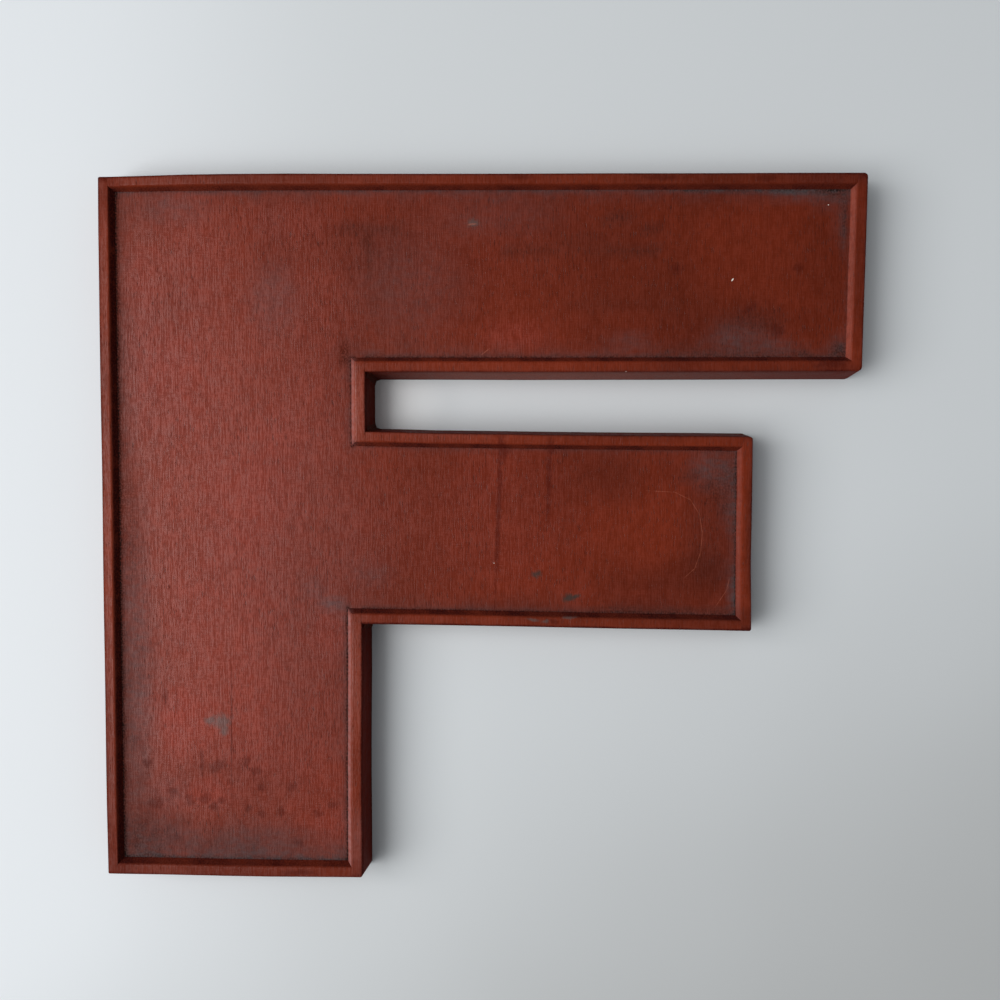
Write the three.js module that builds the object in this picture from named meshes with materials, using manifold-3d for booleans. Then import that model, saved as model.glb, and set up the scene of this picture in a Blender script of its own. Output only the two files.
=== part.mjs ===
// A large capital letter F in painted wood, lying on its back.
// Half lapped boards carry a face sheet, and ten bevelled strips stand round the face as a raised rim.
// Millimetres. +X runs along the arms, +Y up the stem and +Z out of the face. The back lies on z = 0.

import * as THREE from 'three';
import { mergeVertices } from 'three/addons/utils/BufferGeometryUtils.js';
import Module from 'manifold-3d';

const wasm = await Module();
wasm.setup();

// Outline of the front, measured from its top left corner
const TOP_LENGTH = 409;
const LETTER_HEIGHT = 377;
const STEM_WIDTH = 139;
const STEM_WIDTH_AT_SLOT = 141.5;
const TOP_ARM_HEIGHT = 104.2;
const SLOT_HEIGHT = 32.4;
const MIDDLE_ARM_HEIGHT = 103.2;
const MIDDLE_ARM_LENGTH = 349.5;

// Edges that were sawn by eye and run out of square, in degrees
const TOP_ARM_END_LEAN = 1.06;
const SLOT_LOWER_SLOPE = 0.7;
const MIDDLE_ARM_UNDER_SLOPE = 1.03;
const STEM_RIGHT_LEAN = 0.34;
const FOOT_SLOPE = 0.79;

// Layers from the back to the front, and the taper of the outer walls in degrees
const BOARD_THICKNESS = 14;
const FACE_THICKNESS = 6;
const RIM_HEIGHT = 4;
const WALL_DRAFT = 6;

// Section of a rim strip: the flat on top, and how far the bevel runs in to the face
const RIM_WIDTH = 5.2;
const RIM_BEVEL_RUN = 2.5;

// Pins through the rim, set just under the paint
const PIN_DIAMETER = 1.2;
const PIN_HEAD_DIAMETER = 1.8;
const PIN_HEAD_LENGTH = 1.4;
const PIN_LENGTH = 16;
const PIN_POINT_LENGTH = 2;
const PIN_SET = 0.3;
const PIN_SPACING = 130;
const PIN_END_INSET = 14;

// Countersunk screws that hold the half laps from the back
const SCREW_DIAMETER = 3.5;
const SCREW_HEAD_DIAMETER = 7;
const SCREW_HEAD_DEPTH = 2;
const SCREW_LENGTH = 12.5;
const SCREW_POINT_LENGTH = 3.5;
const SCREW_SET = 0.3;
const SCREW_SLOT_WIDTH = 1;
const SCREW_SLOT_DEPTH = 1;
const SCREW_INSET = 28;
const SCREW_TURN = 40;

// Clearances
const JOINT_GAP = 0.2;
const BORE_CLEARANCE = 0.15;

const PIN_SIDES = 8;
const SCREW_SIDES = 16;
const WELD_DISTANCE = 1e-4;

const PAINTED_WOOD = { color: 0x7a3324, roughness: 0.55, metalness: 0 };
const PAINTED_FACE = { color: 0x73301f, roughness: 0.5, metalness: 0 };
const STEEL = { color: 0x77736c, roughness: 0.45, metalness: 1 };

// Heights of the layers, and of the edges between the arms
const LAP_Z = BOARD_THICKNESS / 2;
const FACE_BACK_Z = BOARD_THICKNESS;
const FACE_Z = FACE_BACK_Z + FACE_THICKNESS;
const FRONT_Z = FACE_Z + RIM_HEIGHT;
const SLOT_UPPER_Y = -TOP_ARM_HEIGHT;
const SLOT_LOWER_Y = SLOT_UPPER_Y - SLOT_HEIGHT;
const MIDDLE_ARM_UNDER_Y = SLOT_LOWER_Y - MIDDLE_ARM_HEIGHT;

// An edge of the front: a straight line through a point, followed clockwise, so the letter is on its right
function edgeLine(x, y, heading) {
  const angle = THREE.MathUtils.degToRad(heading);
  const direction = new THREE.Vector2(Math.cos(angle), Math.sin(angle));
  const outward = new THREE.Vector2(-direction.y, direction.x);
  return { point: new THREE.Vector2(x, y), direction, outward };
}

const EDGES = {
  left: edgeLine(0, 0, 90),
  top: edgeLine(0, 0, 0),
  top_arm_end: edgeLine(TOP_LENGTH, 0, -90 - TOP_ARM_END_LEAN),
  slot_upper: edgeLine(0, SLOT_UPPER_Y, 180),
  slot_end: edgeLine(STEM_WIDTH_AT_SLOT, SLOT_UPPER_Y, -90),
  slot_lower: edgeLine(STEM_WIDTH_AT_SLOT, SLOT_LOWER_Y, -SLOT_LOWER_SLOPE),
  middle_arm_end: edgeLine(MIDDLE_ARM_LENGTH, SLOT_LOWER_Y, -90),
  middle_arm_under: edgeLine(STEM_WIDTH, MIDDLE_ARM_UNDER_Y, 180 - MIDDLE_ARM_UNDER_SLOPE),
  stem_right: edgeLine(STEM_WIDTH, MIDDLE_ARM_UNDER_Y, -90 - STEM_RIGHT_LEAN),
  foot: edgeLine(0, -LETTER_HEIGHT, 180 - FOOT_SLOPE),
};
const EDGE_NAMES = Object.keys(EDGES);

// The same line, shifted outwards by a distance
function shifted(line, distance) {
  return { ...line, point: line.point.clone().addScaledVector(line.outward, distance) };
}

function crossing(a, b) {
  const between = b.point.clone().sub(a.point);
  const along = between.cross(b.direction) / a.direction.cross(b.direction);
  return a.point.clone().addScaledVector(a.direction, along);
}

// The corners of a closed outline whose sides follow each other
function cornersOf(lines) {
  return lines.map((line, i) => crossing(lines.at(i - 1), line));
}

// The outer wall along an edge at a height, with a gap left outside it where another piece meets it
function wall(name, z, gap = 0) {
  const flare = Math.tan(THREE.MathUtils.degToRad(WALL_DRAFT)) * (FRONT_Z - z);
  return shifted(EDGES[name], flare + gap);
}

// The rim's inner bevel along an edge at a height, with a gap left inside it where another piece meets it
function bevel(name, z, gap = 0) {
  const run = RIM_BEVEL_RUN * (FRONT_Z - z) / RIM_HEIGHT;
  return shifted(EDGES[name], -RIM_WIDTH - run - gap);
}

// A block with straight tapering sides: sidesAt gives the lines that bound it at a height
function taperedBlock(sidesAt, low, high) {
  const lowCorners = cornersOf(sidesAt(low));
  const highCorners = cornersOf(sidesAt(high));
  const shape = new THREE.Shape(lowCorners);
  const geometry = new THREE.ExtrudeGeometry(shape, { depth: high - low, bevelEnabled: false });
  const position = geometry.getAttribute('position');
  const here = new THREE.Vector2();
  for (let i = 0; i < position.count; i += 1) {
    if (position.getZ(i) > 0) {
      here.fromBufferAttribute(position, i);
      const distances = lowCorners.map((corner) => corner.distanceToSquared(here));
      const corner = highCorners[distances.indexOf(Math.min(...distances))];
      position.setXY(i, corner.x, corner.y);
    }
  }
  return geometry.translate(0, 0, low);
}

// A turned piece on the Z axis: its profile of radii and heights runs from the tip up to the head
function turned(profile, sides) {
  const points = profile.map(([radius, height]) => new THREE.Vector2(radius, height));
  return new THREE.LatheGeometry(points, sides).rotateX(Math.PI / 2);
}

function solidOf(geometry) {
  const bare = geometry.clone();
  bare.deleteAttribute('normal');
  bare.deleteAttribute('uv');
  const welded = mergeVertices(bare, WELD_DISTANCE);
  const vertProperties = new Float32Array(welded.getAttribute('position').array);
  const triVerts = new Uint32Array(welded.index.array);
  return new wasm.Manifold(new wasm.Mesh({ numProp: 3, vertProperties, triVerts }));
}

function geometryOf(solid) {
  const { vertProperties, triVerts } = solid.getMesh();
  const geometry = new THREE.BufferGeometry();
  geometry.setAttribute('position', new THREE.BufferAttribute(vertProperties, 3));
  geometry.setIndex(new THREE.BufferAttribute(triVerts, 1));
  geometry.computeVertexNormals();
  return geometry;
}

function joined(geometries) {
  return geometries.map(solidOf).reduce((whole, solid) => whole.add(solid));
}

// The stem keeps its back half under the arms, and its full thickness between and below them
function stemBoard() {
  const backEdges = ['left', 'top', 'slot_end', 'middle_arm_under', 'stem_right', 'foot'];
  const backAt = (z) => backEdges.map((name) => wall(name, z));
  const betweenArmsAt = (z) => [
    wall('left', z),
    wall('slot_upper', z, JOINT_GAP),
    wall('slot_end', z),
    wall('slot_lower', z, JOINT_GAP),
  ];
  const belowArmsAt = (z) => [
    wall('left', z),
    wall('middle_arm_under', z, JOINT_GAP),
    wall('stem_right', z),
    wall('foot', z),
  ];
  return joined([
    taperedBlock(backAt, 0, LAP_Z),
    taperedBlock(betweenArmsAt, LAP_Z, FACE_BACK_Z),
    taperedBlock(belowArmsAt, LAP_Z, FACE_BACK_Z),
  ]);
}

// An arm keeps its front half across the stem, and its full thickness beyond it
function armBoard(upper, end, lower) {
  const outerSides = (z) => [wall(upper, z), wall(end, z), wall(lower, z)];
  const frontAt = (z) => [wall('left', z), ...outerSides(z)];
  const backAt = (z) => [wall('slot_end', z, JOINT_GAP), ...outerSides(z)];
  return joined([
    taperedBlock(frontAt, LAP_Z, FACE_BACK_Z),
    taperedBlock(backAt, 0, LAP_Z),
  ]);
}

function facePanel() {
  const sidesAt = (z) => EDGE_NAMES.map((name) => wall(name, z));
  return solidOf(taperedBlock(sidesAt, FACE_BACK_Z, FACE_Z));
}

// Rim strips: the upright ones run through at the corners, and the level ones are scribed to fit between them
function isUpright(name) {
  const { direction } = EDGES[name];
  return Math.abs(direction.y) > Math.abs(direction.x);
}

function stripEnd(name, other, outsideCorner, z) {
  if (isUpright(name)) {
    return outsideCorner ? wall(other, z) : bevel(other, z);
  }
  return outsideCorner ? bevel(other, z, JOINT_GAP) : wall(other, z, JOINT_GAP);
}

function stripEndsAt(name, z) {
  const place = EDGE_NAMES.indexOf(name);
  const before = EDGE_NAMES.at(place - 1);
  const after = EDGE_NAMES[(place + 1) % EDGE_NAMES.length];
  const turnsRight = (a, b) => EDGES[a].direction.cross(EDGES[b].direction) < 0;
  return [
    stripEnd(name, before, turnsRight(before, name), z),
    stripEnd(name, after, turnsRight(name, after), z),
  ];
}

function rimStrip(name) {
  const sidesAt = (z) => {
    const [start, end] = stripEndsAt(name, z);
    return [start, wall(name, z), end, bevel(name, z)];
  };
  return solidOf(taperedBlock(sidesAt, FACE_Z, FRONT_Z));
}

// Fasteners: the heads lie at height 0 on their own axis, and each bore follows its fastener with a clearance
const PIN_RADIUS = PIN_DIAMETER / 2;
const PIN_HEAD_RADIUS = PIN_HEAD_DIAMETER / 2;
const SCREW_RADIUS = SCREW_DIAMETER / 2;
const SCREW_HEAD_RADIUS = SCREW_HEAD_DIAMETER / 2;

function pinGeometry() {
  return turned([
    [0, -PIN_LENGTH],
    [PIN_RADIUS, PIN_POINT_LENGTH - PIN_LENGTH],
    [PIN_RADIUS, -PIN_HEAD_LENGTH],
    [PIN_HEAD_RADIUS, -PIN_HEAD_LENGTH],
    [PIN_HEAD_RADIUS, 0],
    [0, 0],
  ], PIN_SIDES);
}

function pinBore() {
  const shank = PIN_RADIUS + BORE_CLEARANCE;
  const head = PIN_HEAD_RADIUS + BORE_CLEARANCE;
  const shoulder = -PIN_HEAD_LENGTH - BORE_CLEARANCE;
  const mouth = PIN_SET + BORE_CLEARANCE;
  return turned([
    [0, -PIN_LENGTH - BORE_CLEARANCE],
    [shank, -PIN_LENGTH - BORE_CLEARANCE],
    [shank, shoulder],
    [head, shoulder],
    [head, mouth],
    [0, mouth],
  ], PIN_SIDES);
}

function screwGeometry() {
  const blank = turned([
    [0, -SCREW_LENGTH],
    [SCREW_RADIUS, SCREW_POINT_LENGTH - SCREW_LENGTH],
    [SCREW_RADIUS, -SCREW_HEAD_DEPTH],
    [SCREW_HEAD_RADIUS, 0],
    [0, 0],
  ], SCREW_SIDES);
  const slotLength = SCREW_HEAD_DIAMETER + 2 * BORE_CLEARANCE;
  const slot = new THREE.BoxGeometry(slotLength, SCREW_SLOT_WIDTH, 2 * SCREW_SLOT_DEPTH);
  return geometryOf(solidOf(blank).subtract(solidOf(slot)));
}

function screwBore() {
  const shank = SCREW_RADIUS + BORE_CLEARANCE;
  const head = SCREW_HEAD_RADIUS + BORE_CLEARANCE;
  const mouth = SCREW_SET + BORE_CLEARANCE;
  return turned([
    [0, -SCREW_LENGTH - BORE_CLEARANCE],
    [shank, -SCREW_LENGTH - BORE_CLEARANCE],
    [shank, -SCREW_HEAD_DEPTH],
    [head, 0],
    [head, mouth],
    [0, mouth],
  ], SCREW_SIDES);
}

// Pins stand on the middle of the flat, evenly spaced between the ends of their strip
function pinPlaces(name) {
  const middle = shifted(EDGES[name], -RIM_WIDTH / 2);
  const [start, end] = stripEndsAt(name, FRONT_Z).map((line) => crossing(middle, line));
  const length = start.distanceTo(end);
  const run = length - 2 * PIN_END_INSET;
  const spaces = Math.ceil(run / PIN_SPACING);
  return Array.from({ length: spaces + 1 }, (_, i) => {
    const along = PIN_END_INSET + run * i / spaces;
    return start.clone().lerp(end, along / length);
  });
}

// Screws stand near the four corners of a lap
function screwPlaces(upper, lower) {
  const sides = ['left', upper, 'slot_end', lower];
  return cornersOf(sides.map((name) => shifted(EDGES[name], -SCREW_INSET)));
}

function mesh(name, geometry, look) {
  const piece = new THREE.Mesh(geometry, new THREE.MeshStandardMaterial(look));
  piece.name = name;
  return piece;
}

function pinMeshes(name) {
  return pinPlaces(name).map((place, i) => {
    const pin = mesh(`rim_pin_${name}_${i + 1}`, pinGeometry(), STEEL);
    pin.position.set(place.x, place.y, FRONT_Z - PIN_SET);
    return pin;
  });
}

// Seen from the back the heads face out, so the screws are turned over and their slots left as they stopped
function screwMeshes(arm, upper, lower) {
  return screwPlaces(upper, lower).map((place, i) => {
    const screw = mesh(`lap_screw_${arm}_${i + 1}`, screwGeometry(), STEEL);
    screw.position.set(place.x, place.y, SCREW_SET);
    screw.rotation.set(Math.PI, 0, THREE.MathUtils.degToRad(SCREW_TURN * i));
    return screw;
  });
}

const pins = EDGE_NAMES.flatMap(pinMeshes);
const screws = [
  ...screwMeshes('top_arm', 'top', 'slot_upper'),
  ...screwMeshes('middle_arm', 'slot_lower', 'middle_arm_under'),
];

function boreAt(fastener, bore) {
  fastener.updateMatrix();
  return bore.clone().applyMatrix4(fastener.matrix);
}

const bores = joined([
  ...pins.map((pin) => boreAt(pin, pinBore())),
  ...screws.map((screw) => boreAt(screw, screwBore())),
]);

function woodenPiece(name, solid, look) {
  return mesh(name, geometryOf(solid.subtract(bores)), look);
}

const boards = new THREE.Group().add(
  woodenPiece('stem_board', stemBoard(), PAINTED_WOOD),
  woodenPiece('top_arm_board', armBoard('top', 'top_arm_end', 'slot_upper'), PAINTED_WOOD),
  woodenPiece('middle_arm_board', armBoard('slot_lower', 'middle_arm_end', 'middle_arm_under'), PAINTED_WOOD),
);
const face = woodenPiece('face_panel', facePanel(), PAINTED_FACE);
const rim = new THREE.Group().add(
  ...EDGE_NAMES.map((name) => woodenPiece(`rim_${name}`, rimStrip(name), PAINTED_WOOD)),
);
const fasteners = new THREE.Group().add(...pins, ...screws);

// The origin is under the middle of the letter's box
const backCorners = cornersOf(EDGE_NAMES.map((name) => wall(name, 0)));
const middle = new THREE.Box2().setFromPoints(backCorners).getCenter(new THREE.Vector2());
const letter = new THREE.Group().add(boards, face, rim, fasteners);
letter.position.set(-middle.x, -middle.y, 0);

export default letter;
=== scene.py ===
"""A large old capital letter F in painted wood, lying on its back on a pale floor.

Half lapped boards carry a face sheet, and ten bevelled strips stand round the face as a raised rim.
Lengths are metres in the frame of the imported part: +X along the arms, +Y up the stem, +Z out of the face.
"""

import logging
import math
from contextlib import contextmanager
from dataclasses import dataclass, field
from enum import Enum
from typing import Callable, Iterator, Sequence

import bmesh
import bpy
import numpy as np
from mathutils import Matrix, Vector


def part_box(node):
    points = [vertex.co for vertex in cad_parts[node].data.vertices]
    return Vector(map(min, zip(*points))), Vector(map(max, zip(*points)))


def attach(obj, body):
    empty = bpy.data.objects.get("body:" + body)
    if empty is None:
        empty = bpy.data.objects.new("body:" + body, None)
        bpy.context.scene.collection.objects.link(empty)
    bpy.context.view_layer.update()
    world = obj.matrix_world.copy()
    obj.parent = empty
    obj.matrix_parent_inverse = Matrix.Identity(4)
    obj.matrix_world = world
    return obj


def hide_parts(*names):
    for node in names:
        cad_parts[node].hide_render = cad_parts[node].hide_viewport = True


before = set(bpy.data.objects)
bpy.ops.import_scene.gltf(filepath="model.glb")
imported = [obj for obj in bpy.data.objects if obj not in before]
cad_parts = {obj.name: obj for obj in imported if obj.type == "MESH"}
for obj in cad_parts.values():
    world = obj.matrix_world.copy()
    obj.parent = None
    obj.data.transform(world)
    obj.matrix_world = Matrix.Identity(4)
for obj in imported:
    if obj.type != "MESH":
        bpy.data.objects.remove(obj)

LOG = logging.getLogger("letter")
MM = 0.001
BODY = "root"
SCREW = "lap_screw"
PIN = "rim_pin"
UP = Vector((0, 0, 1))

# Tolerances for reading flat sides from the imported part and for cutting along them
SAME_DIRECTION = 0.9999
FLATNESS = 0.01 * MM
SMALLEST_SIDE = 1e-6
CUT_THRESHOLD = 1e-7
WALL_SLOPE = 0.3
BACK_SLOPE = -0.9

# Finishing of modelled pieces
SMOOTH_UP_TO = math.radians(35)
FLAT_SIDE_WEIGHT = 80
MERGED_FLAT = math.radians(0.05)

Socket = bpy.types.NodeSocket
Colour = tuple[float, float, float, float]


def srgb(red: int, green: int, blue: int) -> Colour:
    """Turns a colour as a screen shows it into the linear colour that a shader takes.

    Args:
        red: Red from 0 to 255.
        green: Green from 0 to 255.
        blue: Blue from 0 to 255.

    Returns:
        The linear colour, opaque.
    """
    shares = (channel / 255 for channel in (red, green, blue))
    linear = (s / 12.92 if s <= 0.04045 else ((s + 0.055) / 1.055) ** 2.4 for s in shares)
    return (*linear, 1.0)


def smooth(values: np.ndarray) -> np.ndarray:
    """Eases values between 0 and 1, and holds them there beyond."""
    held = np.clip(values, 0, 1)
    return held * held * (3 - 2 * held)


def points_of(mesh: bpy.types.Mesh) -> np.ndarray:
    """Reads a mesh's vertices.

    Args:
        mesh: The mesh.

    Returns:
        Rows of x, y and z.
    """
    flat = np.empty(len(mesh.vertices) * 3)
    mesh.vertices.foreach_get("co", flat)
    return flat.reshape(-1, 3)


@dataclass(frozen=True)
class Plane:
    """A flat side: a point on it and its outward normal."""

    point: Vector
    normal: Vector

    def distance(self, points: np.ndarray) -> np.ndarray:
        """Returns how far each point lies outside the plane."""
        return (points - np.array(self.point)) @ np.array(self.normal)

    def shifted(self, by: float) -> "Plane":
        """Returns the plane moved outwards."""
        return Plane(self.point + self.normal * by, self.normal)

    def flipped(self) -> "Plane":
        """Returns the plane with its other side outwards."""
        return Plane(self.point, -self.normal)


def hull_planes(node: str) -> list[Plane]:
    """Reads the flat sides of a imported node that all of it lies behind, which leaves its bores out.

    Args:
        node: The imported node's name.

    Returns:
        One plane for each such side, the largest first.
    """
    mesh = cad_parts[node].data
    points = points_of(mesh)
    planes: list[Plane] = []
    for polygon in sorted(mesh.polygons, key=lambda p: -p.area):
        plane = Plane(polygon.center.copy(), polygon.normal.copy())
        known = any(plane.normal.dot(other.normal) > SAME_DIRECTION for other in planes)
        if not known and polygon.area > SMALLEST_SIDE and plane.distance(points).max() < FLATNESS:
            planes.append(plane)
    return planes


class Edge(Enum):
    """An edge of the letter's front, clockwise from the left, with the way that it faces."""

    LEFT = ("left", (-1, 0))
    TOP = ("top", (0, 1))
    TOP_ARM_END = ("top_arm_end", (1, 0))
    SLOT_UPPER = ("slot_upper", (0, -1))
    SLOT_END = ("slot_end", (1, 0))
    SLOT_LOWER = ("slot_lower", (0, 1))
    MIDDLE_ARM_END = ("middle_arm_end", (1, 0))
    MIDDLE_ARM_UNDER = ("middle_arm_under", (0, -1))
    STEM_RIGHT = ("stem_right", (1, 0))
    FOOT = ("foot", (0, -1))

    @property
    def strip(self) -> str:
        """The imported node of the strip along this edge."""
        return "rim_" + self.value[0]

    @property
    def outward(self) -> Vector:
        """The way that this edge faces."""
        return Vector((*self.value[1], 0))

    @property
    def upright(self) -> bool:
        """Whether the edge runs up and down the letter."""
        return self.value[1][1] == 0


# Where an edge was planed hollow: how far along it, from the left or the top, and by how many millimetres,
# which are below zero where it stands proud
HOLLOWS: dict[Edge, tuple[tuple[float, float], ...]] = {
    Edge.TOP: (
        (0, 1.1), (0.05, 0.65), (0.1, 0.1), (0.16, -0.2), (0.24, -0.4), (0.32, -0.15), (0.4, 0), (1, 0.1),
    ),
    Edge.LEFT: ((0, 0.4), (0.08, 0.1), (0.2, 0), (0.42, 0.15), (0.6, 0), (0.9, 0), (1, 0.3)),
    Edge.SLOT_UPPER: ((0, -0.3), (0.3, -0.55), (0.6, -0.6), (0.8, -0.4), (1, -0.4)),
    Edge.SLOT_END: ((0, -0.35), (0.5, -0.2), (1, -0.25)),
    Edge.SLOT_LOWER: ((0, 0), (0.08, 0.05), (0.18, 0.5), (0.5, 0.55), (0.75, 0.5), (0.9, 0.3), (1, 0.25)),
    Edge.MIDDLE_ARM_UNDER: ((0, -0.4), (0.15, -0.2), (1, -0.25)),
    Edge.MIDDLE_ARM_END: ((0, 0), (0.3, 0.1), (0.65, 0.6), (0.85, 0.2), (1, 0)),
    Edge.STEM_RIGHT: ((0, -0.35), (0.25, -0.5), (0.45, -0.35), (0.65, -0.35), (0.8, -0.55), (1, -0.7)),
    Edge.FOOT: ((0, -0.45), (0.2, -0.4), (0.45, -0.65), (0.65, -0.7), (0.8, -0.45), (1, -0.15)),
}

# Edges that were planed at the front alone, so that the hollow runs out towards the back
PLANED_FROM_FRONT = (Edge.TOP, Edge.FOOT)

# How round each outer corner is worn, in millimetres, by the two edges that meet there
CORNER_ROUNDS: dict[tuple[Edge, Edge], float] = {
    (Edge.FOOT, Edge.LEFT): 0.8,
    (Edge.LEFT, Edge.TOP): 0.9,
    (Edge.TOP, Edge.TOP_ARM_END): 2.0,
    (Edge.TOP_ARM_END, Edge.SLOT_UPPER): 2.6,
    (Edge.SLOT_LOWER, Edge.MIDDLE_ARM_END): 1.6,
    (Edge.MIDDLE_ARM_END, Edge.MIDDLE_ARM_UNDER): 1.2,
    (Edge.STEM_RIGHT, Edge.FOOT): 1.0,
}


@dataclass(frozen=True)
class Corner:
    """An outer corner of the letter and the planes that round it."""

    edges: tuple[Edge, Edge]
    point: Vector
    planes: tuple[Plane, ...]


@dataclass
class Outline:
    """The letter's outer walls, inner bevels and rounded corners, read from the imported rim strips."""

    corner_facets: int = 3
    planed_off: float = 0.08 * MM
    planed_reach: float = 16 * MM
    planed_past: float = 3 * MM
    planed_wave: float = 17 * MM
    wall_depth: float = 0.9 * MM
    corner_reach: float = 6 * MM
    skin_probe: float = 1 * MM
    walls: dict[Edge, Plane] = field(default_factory=dict)
    bevels: dict[Edge, Plane] = field(default_factory=dict)
    corners: list[Corner] = field(default_factory=list)
    nooks: list[tuple[Edge, Edge]] = field(default_factory=list)
    face_z: float = 0.0
    front_z: float = 0.0

    def __post_init__(self) -> None:
        """Reads the walls and bevels, and works out the corners."""
        self.face_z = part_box("face_panel")[1].z
        self.front_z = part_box(Edge.LEFT.strip)[1].z
        for edge in Edge:
            planes = hull_planes(edge.strip)
            self.walls[edge] = max(planes, key=lambda plane: plane.normal.dot(edge.outward))
            self.bevels[edge] = min(planes, key=lambda plane: plane.normal.dot(edge.outward))
        edges = list(Edge)
        for before, edge in zip(edges[-1:] + edges[:-1], edges):
            if before.outward.cross(edge.outward).z < 0:
                self.corners.append(self.corner(before, edge))
            else:
                self.nooks.append((before, edge))

    def crossing(self, one: Plane, other: Plane, z: float) -> Vector:
        """Finds where two upright planes cross at a height.

        Args:
            one: The first plane.
            other: The second plane.
            z: The height.

        Returns:
            The crossing point.
        """
        rows = Matrix((one.normal, other.normal, UP))
        shares = Vector((one.normal.dot(one.point), other.normal.dot(other.point), z))
        return rows.inverted() @ shares

    def corner(self, before: Edge, after: Edge) -> Corner:
        """Works out the planes that round the outer corner between two edges.

        Args:
            before: The edge before the corner.
            after: The edge after it.

        Returns:
            The corner, with its planes as steep as the walls.
        """
        one, other = self.walls[before], self.walls[after]
        point = self.crossing(one, other, self.front_z)
        level_one, level_other = (Vector((n.x, n.y, 0)).normalized() for n in (one.normal, other.normal))
        radius = CORNER_ROUNDS[before, after] * MM
        middle = point - (level_one + level_other) * radius / (1 + level_one.dot(level_other))
        planes = []
        for i in range(1, self.corner_facets + 1):
            level = level_one.slerp(level_other, i / (self.corner_facets + 1))
            slope = Vector((level.x, level.y, one.normal.z / math.hypot(one.normal.x, one.normal.y)))
            planes.append(Plane(middle + level * radius, slope.normalized()))
        return Corner((before, after), point, tuple(planes))

    def outside(self, points: np.ndarray) -> np.ndarray:
        """Tells which points lie outside the letter's walls.

        Args:
            points: Rows of x, y and z.

        Returns:
            True for each point outside.
        """
        past = {edge: plane.distance(points) > 0 for edge, plane in self.walls.items()}
        in_slot = past[Edge.SLOT_UPPER] & past[Edge.SLOT_LOWER]
        in_top_arm = ~past[Edge.SLOT_UPPER]
        below_arms = past[Edge.MIDDLE_ARM_UNDER]
        in_middle_arm = ~past[Edge.SLOT_LOWER] & ~below_arms
        return (
            past[Edge.LEFT] | past[Edge.TOP] | past[Edge.FOOT]
            | (in_top_arm & past[Edge.TOP_ARM_END])
            | (in_slot & past[Edge.SLOT_END])
            | (in_middle_arm & past[Edge.MIDDLE_ARM_END])
            | (below_arms & past[Edge.STEM_RIGHT])
        )

    def planed_by_hand(self, piece: bpy.types.Object) -> None:
        """Moves a piece's walls in or out by a little, unevenly along each edge.

        Args:
            piece: The piece, with vertices along its walls.
        """
        points = points_of(piece.data)
        moved = points.copy()
        for number, edge in enumerate(Edge):
            wall = self.walls[edge]
            depth = -wall.distance(points)
            reach = np.where(depth > -self.planed_past, smooth(1 - depth / self.planed_reach), 0)
            if edge in PLANED_FROM_FRONT:
                reach *= points[:, 2] / self.front_z
            low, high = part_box(edge.strip)
            if edge.upright:
                along, start, end = points[:, 1], high.y, low.y
            else:
                along, start, end = points[:, 0], low.x, high.x
            share = (along - start) / (end - start)
            wave = np.sin(along / self.planed_wave + number)
            stations, amounts = zip(*HOLLOWS.get(edge, ((0, 0), (1, 0))))
            amount = np.interp(share, stations, amounts) * MM + self.planed_off * (0.5 + 0.5 * wave)
            level = np.array((wall.normal.x, wall.normal.y, 0))
            moved -= (reach * amount)[:, None] * level
        piece.data.vertices.foreach_set("co", moved.ravel())
        piece.data.update()

    def foot_line(self, edge: Edge, offset: float) -> Plane:
        """Finds the upright plane beside the foot of the bevel along one edge, on the face's side.

        Args:
            edge: The edge.
            offset: How far the plane lies from the foot.

        Returns:
            The plane.
        """
        bevel = self.bevels[edge]
        level = Vector((bevel.normal.x, bevel.normal.y, 0))
        drop = (bevel.point.z - self.face_z) * bevel.normal.z / level.length
        spot = bevel.point + level.normalized() * (drop + offset)
        return Plane(spot, level.normalized())

    def edge_distance(self, points: np.ndarray, edge: Edge, side: Plane) -> np.ndarray:
        """Measures how far points lie, at their own height, from the wall or the bevel along one edge.

        Args:
            points: Rows of x, y and z.
            edge: The edge.
            side: Its wall or its bevel.

        Returns:
            The distance from that side, round its ends too.
        """
        level = Vector((side.normal.x, side.normal.y, 0))
        across = np.abs(side.distance(points)) / level.length
        tangent = UP.cross(level).normalized()
        strip = points_of(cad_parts[edge.strip].data) @ np.array(tangent)
        along = points @ np.array(tangent)
        beyond = np.maximum(np.maximum(strip.min() - along, along - strip.max()), 0)
        return np.hypot(across, beyond)

    def under_skin(self, points: np.ndarray, edge: Edge) -> np.ndarray:
        """Measures how deep points lie under the bare wall along one edge, or the rounding at its ends.

        Args:
            points: Rows of x, y and z.
            edge: The edge.

        Returns:
            The depth, endless where that wall is covered or far away.
        """
        depth = np.abs(self.walls[edge].distance(points))
        for corner in self.corners:
            if edge in corner.edges:
                away = np.hypot(*(points[:, :2] - np.array(corner.point.xy)).T)
                rounding = np.abs(np.max([plane.distance(points) for plane in corner.planes], axis=0))
                depth = np.where(away < self.corner_reach, np.minimum(depth, rounding), depth)
        bare = self.outside(points + np.array(edge.outward) * self.skin_probe)
        return np.where(bare, depth, np.inf)

    def sides_of(self, edge: Edge) -> list[Edge]:
        """Lists the edges whose bevels run over a strip: its own, and those past an inner corner."""
        nooks = [nook for nook in self.nooks if edge in nook and edge.upright]
        return [edge, *(other for nook in nooks for other in nook if other is not edge)]

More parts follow.
